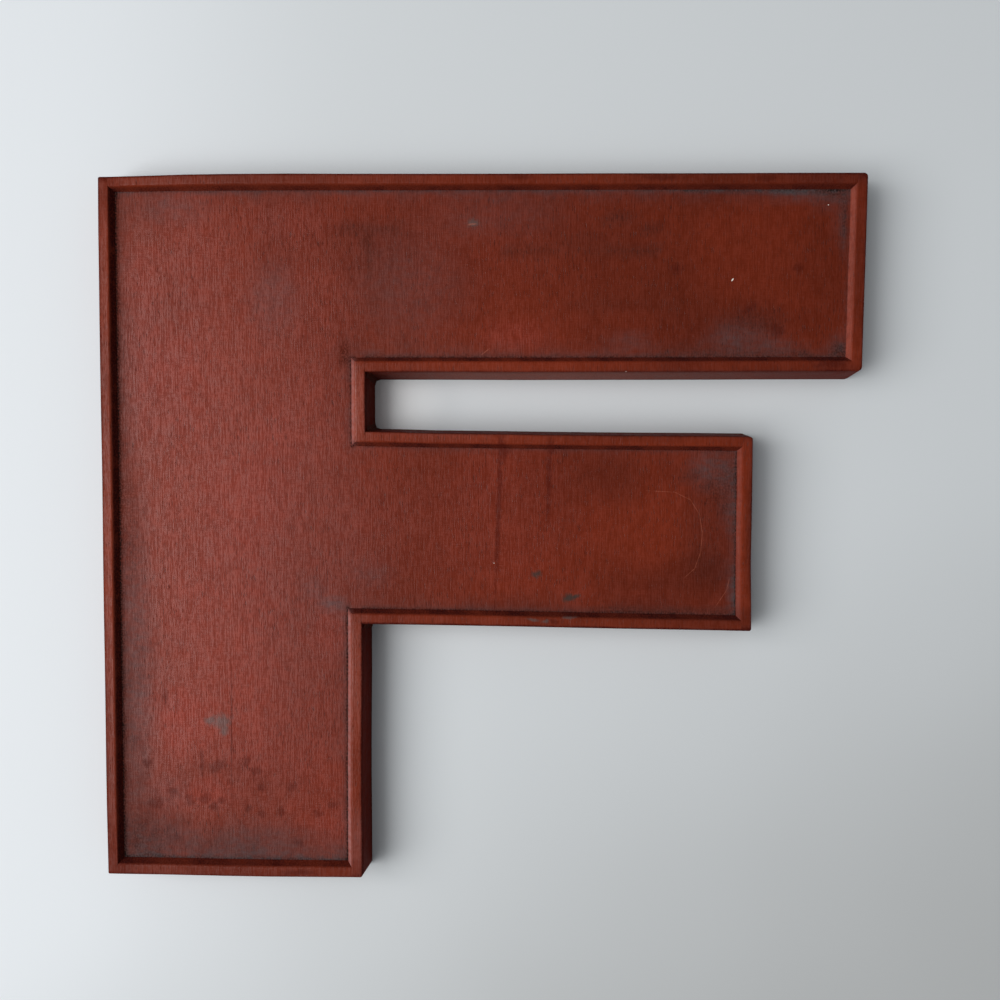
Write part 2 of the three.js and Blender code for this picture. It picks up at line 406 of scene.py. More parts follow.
    def lit_share(self, points: np.ndarray) -> np.ndarray:
        """Tells how much painted light the wall over the slot takes at each point.

        Args:
            points: Rows of x, y and z.

        Returns:
            From 0, none, to 1, fully lit.
        """
        low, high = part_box(Edge.SLOT_UPPER.strip)
        share = (points[:, 0] - low.x) / (high.x - low.x)
        on_wall = np.abs(self.walls[Edge.SLOT_UPPER].distance(points)) < self.wall_depth
        below_rim = points[:, 2] < self.front_z - self.wall_depth
        stations, amounts = zip(*SLOT_WALL_LIGHT)
        return np.where(on_wall & below_rim & (share > 0), np.interp(share, stations, amounts), 0)


# Waves that make a line uneven: how strong each is, how often it comes, and where it starts
WAVES = ((0.25, 1.0, 0.0), (0.15, 2.7, 1.0), (0.1, 5.3, 2.0))


def uneven(points: np.ndarray, length: float) -> np.ndarray:
    """Gives a slow, irregular waver along any straight line.

    Args:
        points: The points.
        length: About how long one wave is, in metres.

    Returns:
        A factor of about 0.5 to 1.5 at each point.
    """
    phase = (points[:, 0] + points[:, 1]) * 2 * math.pi / length
    return sum((strength * np.sin(rate * phase + start) for strength, rate, start in WAVES), start=1)


def store_soil(piece: bpy.types.Object, soil: np.ndarray, name: str = "soil") -> None:
    """Writes a painted layer of soil to a piece's vertices.

    Args:
        piece: The finished piece.
        soil: Rows of four channels, in the order of Soil.
        name: The layer's name.
    """
    layer = piece.data.color_attributes.new(name, "FLOAT_COLOR", "POINT")
    layer.data.foreach_set("color", np.clip(soil, 0, 1).astype(np.float32).ravel())


# Working on one piece at a time with the modelling operators


def select_only(piece: bpy.types.Object) -> None:
    """Selects one piece and makes it the active one.

    Args:
        piece: The piece.
    """
    bpy.ops.object.select_all(action="DESELECT")
    piece.select_set(True)
    bpy.context.view_layer.objects.active = piece


@contextmanager
def edit_mode(piece: bpy.types.Object) -> Iterator[None]:
    """Opens one piece alone in edit mode, and closes it again.

    Args:
        piece: The piece to open.

    Yields:
        Nothing, while the piece is open.
    """
    select_only(piece)
    bpy.ops.object.mode_set(mode="EDIT")
    yield
    bpy.ops.object.mode_set(mode="OBJECT")


def block(name: str, low: Vector, high: Vector) -> bpy.types.Object:
    """Adds a block that fills a box.

    Args:
        name: The block's name.
        low: The box's lowest corner.
        high: The box's highest corner.

    Returns:
        The block, with its place in its mesh.
    """
    bpy.ops.object.select_all(action="DESELECT")
    bpy.ops.mesh.primitive_cube_add(size=1, location=(low + high) / 2, scale=high - low)
    piece = bpy.context.object
    piece.name = name
    bpy.ops.object.transform_apply(location=True, rotation=False, scale=True)
    return piece


def saw(plane: Plane) -> None:
    """Cuts off what lies outside a plane from the piece in edit mode, and closes the cut.

    Args:
        plane: The plane.
    """
    bpy.ops.mesh.select_all(action="SELECT")
    bpy.ops.mesh.bisect(
        plane_co=plane.point,
        plane_no=plane.normal,
        use_fill=True,
        clear_outer=True,
        threshold=CUT_THRESHOLD,
    )


def score(plane: Plane) -> None:
    """Marks a line where a plane crosses the piece in edit mode, and cuts nothing off."""
    bpy.ops.mesh.select_all(action="SELECT")
    bpy.ops.mesh.bisect(plane_co=plane.point, plane_no=plane.normal, threshold=CUT_THRESHOLD)


def select_edges(piece: bpy.types.Object, chosen: Callable[[Vector, Vector], bool]) -> int:
    """Selects edges of the piece in edit mode by their two ends.

    Args:
        piece: The piece in edit mode.
        chosen: Tells from an edge's two ends whether it is selected.

    Returns:
        How many edges are selected.
    """
    bpy.ops.mesh.select_mode(type="EDGE")
    bpy.ops.mesh.select_all(action="DESELECT")
    shape = bmesh.from_edit_mesh(piece.data)
    for edge in shape.edges:
        start, end = (vertex.co for vertex in edge.verts)
        edge.select_set(chosen(start, end))
    bmesh.update_edit_mesh(piece.data)
    return sum(edge.select for edge in shape.edges)


def on_plane(plane: Plane, *points: Vector) -> bool:
    """Tells whether all points lie on a plane."""
    return all(abs((point - plane.point).dot(plane.normal)) < FLATNESS for point in points)


def divide_long_edges(piece: bpy.types.Object, longest: float) -> None:
    """Subdivides the edges of the piece in edit mode that are longer than a length.

    Args:
        piece: The piece in edit mode.
        longest: The length that edges may keep.
    """
    while select_edges(piece, lambda start, end: (end - start).length > longest):
        bpy.ops.mesh.subdivide(number_cuts=1, quadcorner="INNERVERT")


def finish_shading(piece: bpy.types.Object) -> None:
    """Shades a piece smooth over its rounded edges, and flat past them.

    Args:
        piece: The piece.
    """
    select_only(piece)
    bpy.ops.object.shade_smooth_by_angle(angle=SMOOTH_UP_TO)
    modifier = piece.modifiers.new("flat_sides", "WEIGHTED_NORMAL")
    modifier.keep_sharp = True
    modifier.weight = FLAT_SIDE_WEIGHT
    bpy.ops.object.modifier_apply(modifier=modifier.name)


def apply_boolean(piece: bpy.types.Object, other: bpy.types.Object, operation: str) -> None:
    """Joins another block to a piece, or cuts it out, and removes the block.

    Args:
        piece: The piece that stays.
        other: The block.
        operation: UNION or DIFFERENCE.
    """
    select_only(piece)
    modifier = piece.modifiers.new(operation.lower(), "BOOLEAN")
    modifier.operation = operation
    modifier.object = other
    modifier.solver = "EXACT"
    bpy.ops.object.modifier_apply(modifier=modifier.name)
    bpy.data.objects.remove(other)


def place(piece: bpy.types.Object, slot: str, *nodes: str) -> None:
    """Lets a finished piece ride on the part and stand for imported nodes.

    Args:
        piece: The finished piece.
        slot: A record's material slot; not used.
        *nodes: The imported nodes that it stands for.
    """
    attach(piece, BODY)
    if nodes:
        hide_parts(*nodes)
    LOG.info("%s: %d faces", piece.name, len(piece.data.polygons))


# Marks on the paint


class Soil(Enum):
    """A soft layer on the paint, by its place in the painted layer."""

    DUST = 0
    GRIME = 1
    # Lighter, pinker paint where it is worn, which also lays the painted highlight on the bevels that face
    # the light and the painted light on the wall over the slot
    HALO = 2
    SHADE = 3


class Mark(Enum):
    """A crisp mark on the paint."""

    SPOT = "a dark spot"
    RUN = "a run of darker paint"
    BARE = "grey ground that shows"
    STAIN = "a dark grey-green stain"
    SCRAPE = "a fine light scratch"
    CHIP = "a white chip"


@dataclass(frozen=True)
class Cloud:
    """A soft patch of soil: its middle and half sizes in millimetres, and how strong it is."""

    soil: Soil
    x: float
    y: float
    half_width: float
    half_height: float
    strength: float
    reach: float = 1.25

    def amount(self, points: np.ndarray) -> np.ndarray:
        """Returns how much of it lies at each point, in millimetres."""
        offset = (points - (self.x, self.y)) / (self.half_width, self.half_height)
        return self.strength * smooth(self.reach - np.hypot(*offset.T))


@dataclass(frozen=True)
class Stroke:
    """A soft line of soil through points in millimetres, with its half width and strength."""

    soil: Soil
    path: tuple[tuple[float, float], ...]
    half_width: float
    strength: float
    reach: float = 1.4

    def amount(self, points: np.ndarray) -> np.ndarray:
        """Works out how much of it lies at each point.

        Args:
            points: Rows of x and y, in millimetres.

        Returns:
            The amounts.
        """
        nearest = np.full(len(points), np.inf)
        for start, end in zip(np.array(self.path[:-1]), np.array(self.path[1:])):
            run = end - start
            share = np.clip((points - start) @ run / (run @ run), 0, 1)
            nearest = np.minimum(nearest, np.hypot(*(points - start - share[:, None] * run).T))
        return self.strength * smooth(self.reach - nearest / self.half_width)


@dataclass(frozen=True)
class Fleck:
    """A crisp oval mark: its middle, half sizes and turn, in millimetres and degrees."""

    mark: Mark
    x: float
    y: float
    half_width: float
    half_height: float
    turn: float = 0.0


@dataclass(frozen=True)
class MarkLook:
    """A kind of mark's colour, how much of it shows, how soft its edge is and how much gloss it takes."""

    tint: Colour
    share: float
    softness: float
    dulled: float = 0.0


MARK_LOOKS: dict[Mark, MarkLook] = {
    Mark.SPOT: MarkLook(srgb(58, 15, 11), 0.38, 0.6, 0.28),
    Mark.RUN: MarkLook(srgb(80, 22, 12), 0.6, 0.7, 0.2),
    Mark.BARE: MarkLook(srgb(86, 77, 74), 0.62, 0.75),
    Mark.STAIN: MarkLook(srgb(60, 52, 47), 0.88, 0.8, 0.3),
    Mark.SCRAPE: MarkLook(srgb(178, 100, 78), 0.35, 0.4),
    Mark.CHIP: MarkLook(srgb(238, 230, 220), 0.95, 0.15),
}


def scratch(half_width: float, *points: tuple[float, float]) -> tuple[Fleck, ...]:
    """Lays a thin scratch from point to point, as overlapping flecks.

    Args:
        half_width: Half the scratch's width, in millimetres.
        points: The points that it runs through, in millimetres.

    Returns:
        The flecks.
    """
    overlap = 0.62
    flecks = []
    for start, end in zip(points, points[1:]):
        run, rise = end[0] - start[0], end[1] - start[1]
        middle = (start[0] + run / 2, start[1] + rise / 2)
        reach = math.hypot(run, rise) * overlap
        flecks.append(Fleck(Mark.SCRAPE, *middle, reach, half_width, math.degrees(math.atan2(rise, run))))
    return tuple(flecks)


# Dust along the foot of each bevel: how much, and how far it reaches in millimetres
EDGE_DUST: dict[Edge, tuple[float, float]] = {
    Edge.LEFT: (0.28, 5.0),
    Edge.TOP: (0.6, 2.0),
    Edge.TOP_ARM_END: (0.15, 1.6),
    Edge.SLOT_UPPER: (0.45, 3.0),
    Edge.SLOT_END: (0.3, 2.5),
    Edge.SLOT_LOWER: (0.25, 1.5),
    Edge.MIDDLE_ARM_END: (0.6, 2.4),
    Edge.MIDDLE_ARM_UNDER: (0.35, 2.0),
    Edge.STEM_RIGHT: (0.4, 2.5),
    Edge.FOOT: (0.85, 3.6),
}

# Grime and painted shade in the corner at the foot of each bevel: how much, and how far it reaches in
# millimetres
CORNER_GRIME_AND_SHADE: dict[Edge, tuple[float, float]] = {
    Edge.LEFT: (1.0, 1.25),
    Edge.TOP: (0.4, 1.0),
    Edge.TOP_ARM_END: (0.15, 0.7),
    Edge.SLOT_UPPER: (0.6, 1.2),
    Edge.SLOT_END: (0.8, 0.7),
    Edge.SLOT_LOWER: (0.4, 0.7),
    Edge.MIDDLE_ARM_END: (0.7, 0.9),
    Edge.MIDDLE_ARM_UNDER: (0.6, 0.9),
    Edge.STEM_RIGHT: (1.2, 0.7),
    Edge.FOOT: (0.55, 1.6),
}

# Painted shade on the bevels, strong on those that face away from the light, and a dark crack line at their
# foot: how much shade, how soon it starts below the top, and how much more in the foot line
BEVEL_SHADE_AND_GRIME: dict[Edge, tuple[float, float, float]] = {
    Edge.LEFT: (1.2, 2.2, 0.3),
    Edge.TOP: (0.55, 1.7, 0.1),
    Edge.TOP_ARM_END: (0.1, 1.7, 0.2),
    Edge.SLOT_UPPER: (0.66, 3.4, 0.2),
    Edge.SLOT_END: (0.1, 1.7, 0.7),
    Edge.SLOT_LOWER: (0.65, 4.0, 0.1),
    Edge.MIDDLE_ARM_END: (0.1, 1.7, 0.6),
    Edge.MIDDLE_ARM_UNDER: (0.7, 3.2, 0.2),
    Edge.STEM_RIGHT: (0.1, 1.7, 0.7),
    Edge.FOOT: (0.6, 4.0, 0.1),
}

# Painted shade and grime along the outer arris of each strip: how much, and how far it reaches in
# millimetres
ARRIS_SHADE_AND_GRIME: dict[Edge, tuple[float, float]] = {
    Edge.LEFT: (1.0, 0.45),
    Edge.TOP: (1.2, 0.6),
    Edge.TOP_ARM_END: (1.1, 0.6),
    Edge.SLOT_UPPER: (0.8, 0.5),
    Edge.SLOT_END: (1.0, 0.5),
    Edge.SLOT_LOWER: (0.9, 0.45),
    Edge.MIDDLE_ARM_END: (1.0, 0.55),
    Edge.MIDDLE_ARM_UNDER: (1.6, 0.7),
    Edge.STEM_RIGHT: (0.9, 0.5),
    Edge.FOOT: (1.0, 0.45),
}

# Painted highlight on the bevels that face the light, laid on as pale worn paint and pale dust: how much of
# each
BEVEL_HIGHLIGHT: dict[Edge, tuple[float, float]] = {
    Edge.TOP_ARM_END: (0.6, 0.06),
    Edge.SLOT_END: (0.65, 0.28),
    Edge.MIDDLE_ARM_END: (0.2, 0.08),
    Edge.STEM_RIGHT: (0.6, 0.36),
}

# Painted light on the wall over the slot, laid on as pale brown paint: how much, by how far along it from
# the left
SLOT_WALL_LIGHT: tuple[tuple[float, float], ...] = (
    (0, 0.0), (0.06, 0.2), (0.2, 0.6), (0.4, 0.65), (0.7, 0.42), (0.85, 0.25), (1, 0.12),
)

# Soft soil on the face
SOILS: tuple[Cloud | Stroke, ...] = (
    Cloud(Soil.DUST, 186, 178, 13, 7, 0.4),
    Cloud(Soil.DUST, 166, 181, 22, 3.5, 0.6),
    Cloud(Soil.DUST, 128, 182, 30, 2.5, 0.35),
    Cloud(Soil.DUST, 192.5, 164, 3, 18, 0.45),
    Cloud(Soil.DUST, 190, 99, 6, 6, 0.5),
    Cloud(Soil.DUST, 138, 103, 20, 10, 0.4),
    Cloud(Soil.DUST, 78, 101, 14, 5, 0.3),
    Cloud(Soil.DUST, 158, 98, 10, 6, 0.35),
    Cloud(Soil.DUST, 124, 32, 14, 12, 0.5),
    Cloud(Soil.DUST, 137, -34, 4, 12, 0.5),
    Cloud(Soil.DUST, 134, 18, 6, 20, 0.3),
    Cloud(Soil.DUST, -112, 124, 16, 24, 0.25),
    Cloud(Soil.DUST, -40, 130, 36, 34, 0.2),
    Cloud(Soil.DUST, 8, 168, 44, 14, 0.16),
    Cloud(Soil.DUST, -178, -168, 26, 12, 0.36),
    Cloud(Soil.DUST, -172, -146, 14, 12, 0.16),
    # A faint grey haze over the stem: dust and painted sheen
    Cloud(Soil.DUST, -100, -10, 50, 130, 0.07),
    Cloud(Soil.DUST, -126, -170, 40, 12, 0.26),
    Cloud(Soil.DUST, -82, -40, 9, 5, 0.45),
    Cloud(Soil.DUST, -92, -32, 8, 5, 0.3),
    Cloud(Soil.DUST, -60, -24, 14, 8, 0.22),
    Cloud(Soil.DUST, -165, 172, 26, 8, 0.28),
    Cloud(Soil.DUST, -188, -70, 10, 100, 0.36),
    Cloud(Soil.GRIME, -190, 5, 6, 45, 0.2),
    Cloud(Soil.GRIME, -74, 97, 4, 8, 0.42),
    Cloud(Soil.GRIME, -73, 90, 6, 4, 0.2),
    Cloud(Soil.GRIME, -132, -140, 36, 18, 0.08),
    Cloud(Soil.GRIME, -184, -154, 10, 10, 0.08),
    Cloud(Soil.GRIME, -185, -172, 14, 12, 0.18),
    Cloud(Soil.GRIME, -187, -160, 5, 4, 0.2),
    Cloud(Soil.GRIME, -177, -166, 6, 3.5, 0.2),
    Cloud(Soil.GRIME, -166, -160, 5, 4, 0.16),
    Cloud(Soil.GRIME, -190, -171, 4, 6, 0.22),
    Cloud(Soil.GRIME, -170, -173, 8, 3, 0.16),
    Cloud(Soil.GRIME, -149, -172, 10, 3, 0.14),
    Cloud(Soil.GRIME, -126, -174, 9, 2.5, 0.16),
    Cloud(Soil.GRIME, -96, -176, 12, 2.2, 0.12),
    Cloud(Soil.GRIME, -188, -118, 4, 8, 0.16),
    Cloud(Soil.GRIME, -184, -136, 5, 5, 0.14),
    Cloud(Soil.GRIME, 145, 112, 22, 9, 0.28),
    Cloud(Soil.GRIME, 188, 180, 12, 4, 0.3),
    Cloud(Soil.GRIME, 193, 166, 2.5, 16, 0.4),
    Cloud(Soil.GRIME, 191, 97, 6, 4, 0.45),
    Cloud(Soil.GRIME, 132, 30, 10, 16, 0.22),
    Cloud(Soil.GRIME, 122, 8, 20, 34, 0.12),
    Cloud(Soil.GRIME, 139, -14, 2.4, 34, 0.22),
    Cloud(Soil.GRIME, 138, -42, 6, 6, 0.2),
    Stroke(Soil.GRIME, ((110, 181.5), (150, 180.5), (190, 181)), 2.0, 0.2),
    Stroke(Soil.GRIME, ((100, 96.5), (175, 95.5)), 2.2, 0.16),
    Stroke(Soil.GRIME, ((60, -43), (132, -43.5)), 2.4, 0.2),
    Stroke(Soil.GRIME, ((13, 151), (50, 152.5), (93, 151)), 2.8, 0.3),
    Stroke(Soil.GRIME, ((66, 167), (84, 164), (93, 160)), 2.4, 0.26),
    Stroke(Soil.GRIME, ((42, 123), (104, 123)), 2.2, 0.2),
    Stroke(Soil.GRIME, ((-76, 162), (-44, 161)), 2.2, 0.2),
    Stroke(Soil.GRIME, ((-62, 156), (-59, 148), (-60, 140)), 2.6, 0.35),
    Stroke(Soil.GRIME, ((110, 30), (122, 24), (132, 12)), 2.4, 0.25),
    Cloud(Soil.HALO, 50, -36, 14, 9, 0.1),
    Cloud(Soil.HALO, -165, 88, 14, 30, 0.3),
    Cloud(Soil.HALO, -93, 60, 30, 30, 0.34),
    Cloud(Soil.HALO, -112, 28, 22, 34, 0.2),
    Cloud(Soil.HALO, -104, 166, 32, 14, 0.3),
    Cloud(Soil.HALO, -82, -56, 12, 20, 0.3),
    Cloud(Soil.HALO, -170, -146, 16, 12, 0.25),
    Cloud(Soil.HALO, 92, -38, 14, 8, 0.1),
    Cloud(Soil.HALO, -162, -106, 18, 26, 0.45),
    Cloud(Soil.HALO, -150, -145, 16, 12, 0.5),
    Cloud(Soil.HALO, 18, 104, 22, 9, 0.5),
    Cloud(Soil.HALO, -82, -165, 14, 16, 0.34),
    Cloud(Soil.HALO, -150, 10, 48, 195, 0.6),
    Cloud(Soil.HALO, -105, -105, 44, 80, 0.46),
    Cloud(Soil.HALO, 10, 5, 60, 46, 0.28),
    Cloud(Soil.HALO, -90, 0, 60, 60, 0.36),
    Cloud(Soil.HALO, -170, 150, 40, 36, 0.14),
    Cloud(Soil.HALO, -184, 98, 14, 62, 0.42),
    Cloud(Soil.HALO, -95, 118, 34, 50, 0.36),
    Cloud(Soil.HALO, -20, 150, 70, 46, 0.16),
    Cloud(Soil.HALO, -178, -112, 18, 40, 0.3),
    Cloud(Soil.SHADE, -122, -172, 50, 11, 0.4),
    Cloud(Soil.SHADE, 106, 33, 14, 12, 0.32),
    Cloud(Soil.SHADE, 32, -37, 40, 9, 0.16),
    Cloud(Soil.SHADE, 66, -22, 26, 14, 0.12),
    Cloud(Soil.SHADE, -182, 168, 22, 16, 0.14),
    Cloud(Soil.SHADE, -30, 140, 50, 40, 0.22),
    Cloud(Soil.SHADE, 70, 140, 80, 50, 0.3),
    Cloud(Soil.SHADE, 135, 110, 40, 20, 0.35),
    Cloud(Soil.SHADE, -80, 160, 60, 20, 0.1),
    Cloud(Soil.SHADE, 60, 25, 50, 22, 0.12),
    Cloud(Soil.SHADE, 125, 0, 20, 40, 0.4),
    Cloud(Soil.SHADE, 116, -26, 30, 18, 0.55),
    Cloud(Soil.SHADE, 82, -32, 26, 14, 0.36),
    Cloud(Soil.SHADE, 95, -43, 42, 5, 0.4),
    Cloud(Soil.SHADE, 15, -43, 50, 5, 0.35),
    Cloud(Soil.SHADE, 120, 178, 60, 8, 0.25),
    Cloud(Soil.SHADE, 72, 28, 24, 16, 0.3),
    Cloud(Soil.SHADE, 172, 140, 40, 44, 0.2),
)

# Crisp marks on the face
FACE_MARKS: tuple[Fleck, ...] = (
    Fleck(Mark.SPOT, 104, 140, 3.0, 2.8),
    Fleck(Mark.SPOT, 169, 140, 2.6, 2.4),
    Fleck(Mark.SPOT, 144, 119, 4.4, 2.0, 30),
    Fleck(Mark.SPOT, 158, 107, 3.8, 3.4),
    Fleck(Mark.SPOT, -173, -91, 1.7, 3.8),
    Fleck(Mark.SPOT, -153.5, -127, 1.2, 5.6),
    Fleck(Mark.SPOT, -145, -130, 4.2, 3.0, 20),
    Fleck(Mark.SPOT, -129, -127, 2.4, 3.0),
    Fleck(Mark.SPOT, -124, -132, 3.4, 2.2, -30),
    Fleck(Mark.SPOT, -184, -128, 2.8, 2.4),
    Fleck(Mark.SPOT, -169, -144, 2.8, 2.4),
    Fleck(Mark.SPOT, -152, -147.5, 3.2, 2.6),
    Fleck(Mark.SPOT, -147, -152, 2.6, 2.2),
    Fleck(Mark.SPOT, -160, -149, 2.4, 3.0),
    Fleck(Mark.SPOT, -143, -148.6, 2.0, 2.0),
    Fleck(Mark.SPOT, -128, -153, 1.9, 1.8),
    Fleck(Mark.SPOT, -121, -156, 2.4, 2.1),
    Fleck(Mark.SPOT, -121, -141, 2.2, 2.2),
    Fleck(Mark.SPOT, -104, -141, 2.7, 2.5),
    Fleck(Mark.SPOT, -110, -155, 2.1, 2.2),
    Fleck(Mark.SPOT, -90, -156, 2.7, 2.2),
    Fleck(Mark.SPOT, -82, -151, 2.2, 2.1),
    Fleck(Mark.SPOT, -168, -169, 2.6, 2.2),
    Fleck(Mark.SPOT, -101, -172, 2.4, 2.1),
    Fleck(Mark.SPOT, -179, -150, 4.2, 3.0, 15),
    Fleck(Mark.RUN, 9.0, 12, 1.3, 40, -2.2),
    Fleck(Mark.RUN, 11.5, 42, 2.6, 6, -20),
    Fleck(Mark.RUN, 36.2, 28, 1.1, 19, -1.6),
    Fleck(Mark.RUN, 37.5, 43, 1.8, 4, -25),
    Fleck(Mark.RUN, -137, -108, 0.5, 30, -0.5),
    Fleck(Mark.BARE, -147.6, -104.4, 3.4, 2.2, 8),
    Fleck(Mark.BARE, -142.4, -105.2, 3.8, 3.6),
    Fleck(Mark.BARE, -141.0, -109.6, 2.0, 3.0, -12),
    Fleck(Mark.STAIN, 29.8, -24, 2.0, 1.7),
    Fleck(Mark.STAIN, 47, -36.9, 3.0, 1.7, 8),
    Fleck(Mark.STAIN, 50.2, -36.3, 2.4, 0.9, 8),
    Fleck(Mark.BARE, -4.4, 164.3, 2.8, 2.0, 8),
    Fleck(Mark.CHIP, 134.1, 133.9, 0.36, 0.95, -35),
    Fleck(Mark.CHIP, 184.8, 173.5, 0.34, 0.26),
    Fleck(Mark.CHIP, 6.5, -18.1, 0.32, 0.32),
    Fleck(Mark.SCRAPE, -5.4, 163.7, 2.2, 0.45, 6),
    Fleck(Mark.SCRAPE, 1.6, 95.6, 2.4, 0.22, 38),
    *scratch(
        0.13,
        (92, 21), (104, 20.3), (112.5, 16.2), (117.4, 8.4),
        (119, -2), (118.2, -12), (115, -21), (109.5, -26),
    ),
    *scratch(0.13, (127.7, -39.8), (132.2, -33), (134, -26)),
)

# Crisp marks on the rim
RIM_MARKS: tuple[Fleck, ...] = (
    Fleck(Mark.CHIP, 77.1, 84.2, 0.5, 0.9, 15),
    Fleck(Mark.CHIP, 130, -42.4, 0.6, 0.4),
    Fleck(Mark.RUN, 10.4, 44.5, 2.2, 6.0),
    Fleck(Mark.RUN, 36.8, 44.5, 1.5, 6.0),
    Fleck(Mark.BARE, 27.5, -48.4, 3.0, 0.7, -10),
    Fleck(Mark.BARE, 34.0, -49.2, 2.0, 0.8, 12),
    Fleck(Mark.BARE, 47, -47.2, 3.0, 0.6),
    Fleck(Mark.SPOT, 38.0, -49.0, 4.0, 1.3, -20),
    Fleck(Mark.SPOT, -197, 108, 1.4, 5.0),
    Fleck(Mark.SPOT, 150, 186.5, 6.0, 1.6),
    Fleck(Mark.SPOT, 96, 187, 9.0, 1.4),
    Fleck(Mark.SPOT, 186, 89, 7.0, 2.0, 4),
    Fleck(Mark.SPOT, -100, -187, 8.0, 1.4),
    Fleck(Mark.SPOT, 20, 187.5, 7.0, 1.2),
)

# Worn and dark stretches of the rim
RIM_SOILS: tuple[Cloud | Stroke, ...] = (
    Cloud(Soil.HALO, -66, 66, 9, 26, 0.4),
    Cloud(Soil.HALO, -66, -80, 9, 44, 0.3),
    Cloud(Soil.DUST, -68, -170, 5, 20, 0.08),
    Cloud(Soil.HALO, -20, 53, 40, 6, 0.2),
    Cloud(Soil.SHADE, 120, -48, 60, 8, 0.55),
    Cloud(Soil.SHADE, 40, -48, 40, 8, 0.35),
    Cloud(Soil.SHADE, 90, 52, 60, 6, 0.25),
    Cloud(Soil.SHADE, 130, 88, 80, 8, 0.3),
    Cloud(Soil.HALO, -199, 0, 6, 190, 0.25),
    Cloud(Soil.SHADE, 130, 187, 90, 6, 0.5),
    Cloud(Soil.SHADE, -110, 187, 90, 6, 0.3),
    Cloud(Soil.SHADE, -130, -187, 80, 8, 0.28),
    Cloud(Soil.SHADE, 202, 140, 6, 60, 0.3),
    Cloud(Soil.SHADE, 147, 0, 6, 50, 0.85),
    Cloud(Soil.GRIME, 186, 187, 24, 6, 0.3),
    Stroke(Soil.GRIME, ((60, 191), (196, 190.6)), 1.0, 0.4),
    Cloud(Soil.GRIME, -198, 180, 8, 18, 0.25),
    Cloud(Soil.GRIME, -196, -176, 8, 20, 0.3),
    Cloud(Soil.GRIME, 188, 88, 12, 6, 0.35),
    Cloud(Soil.GRIME, 147, 0, 5, 46, 0.1),
)


# Finishes


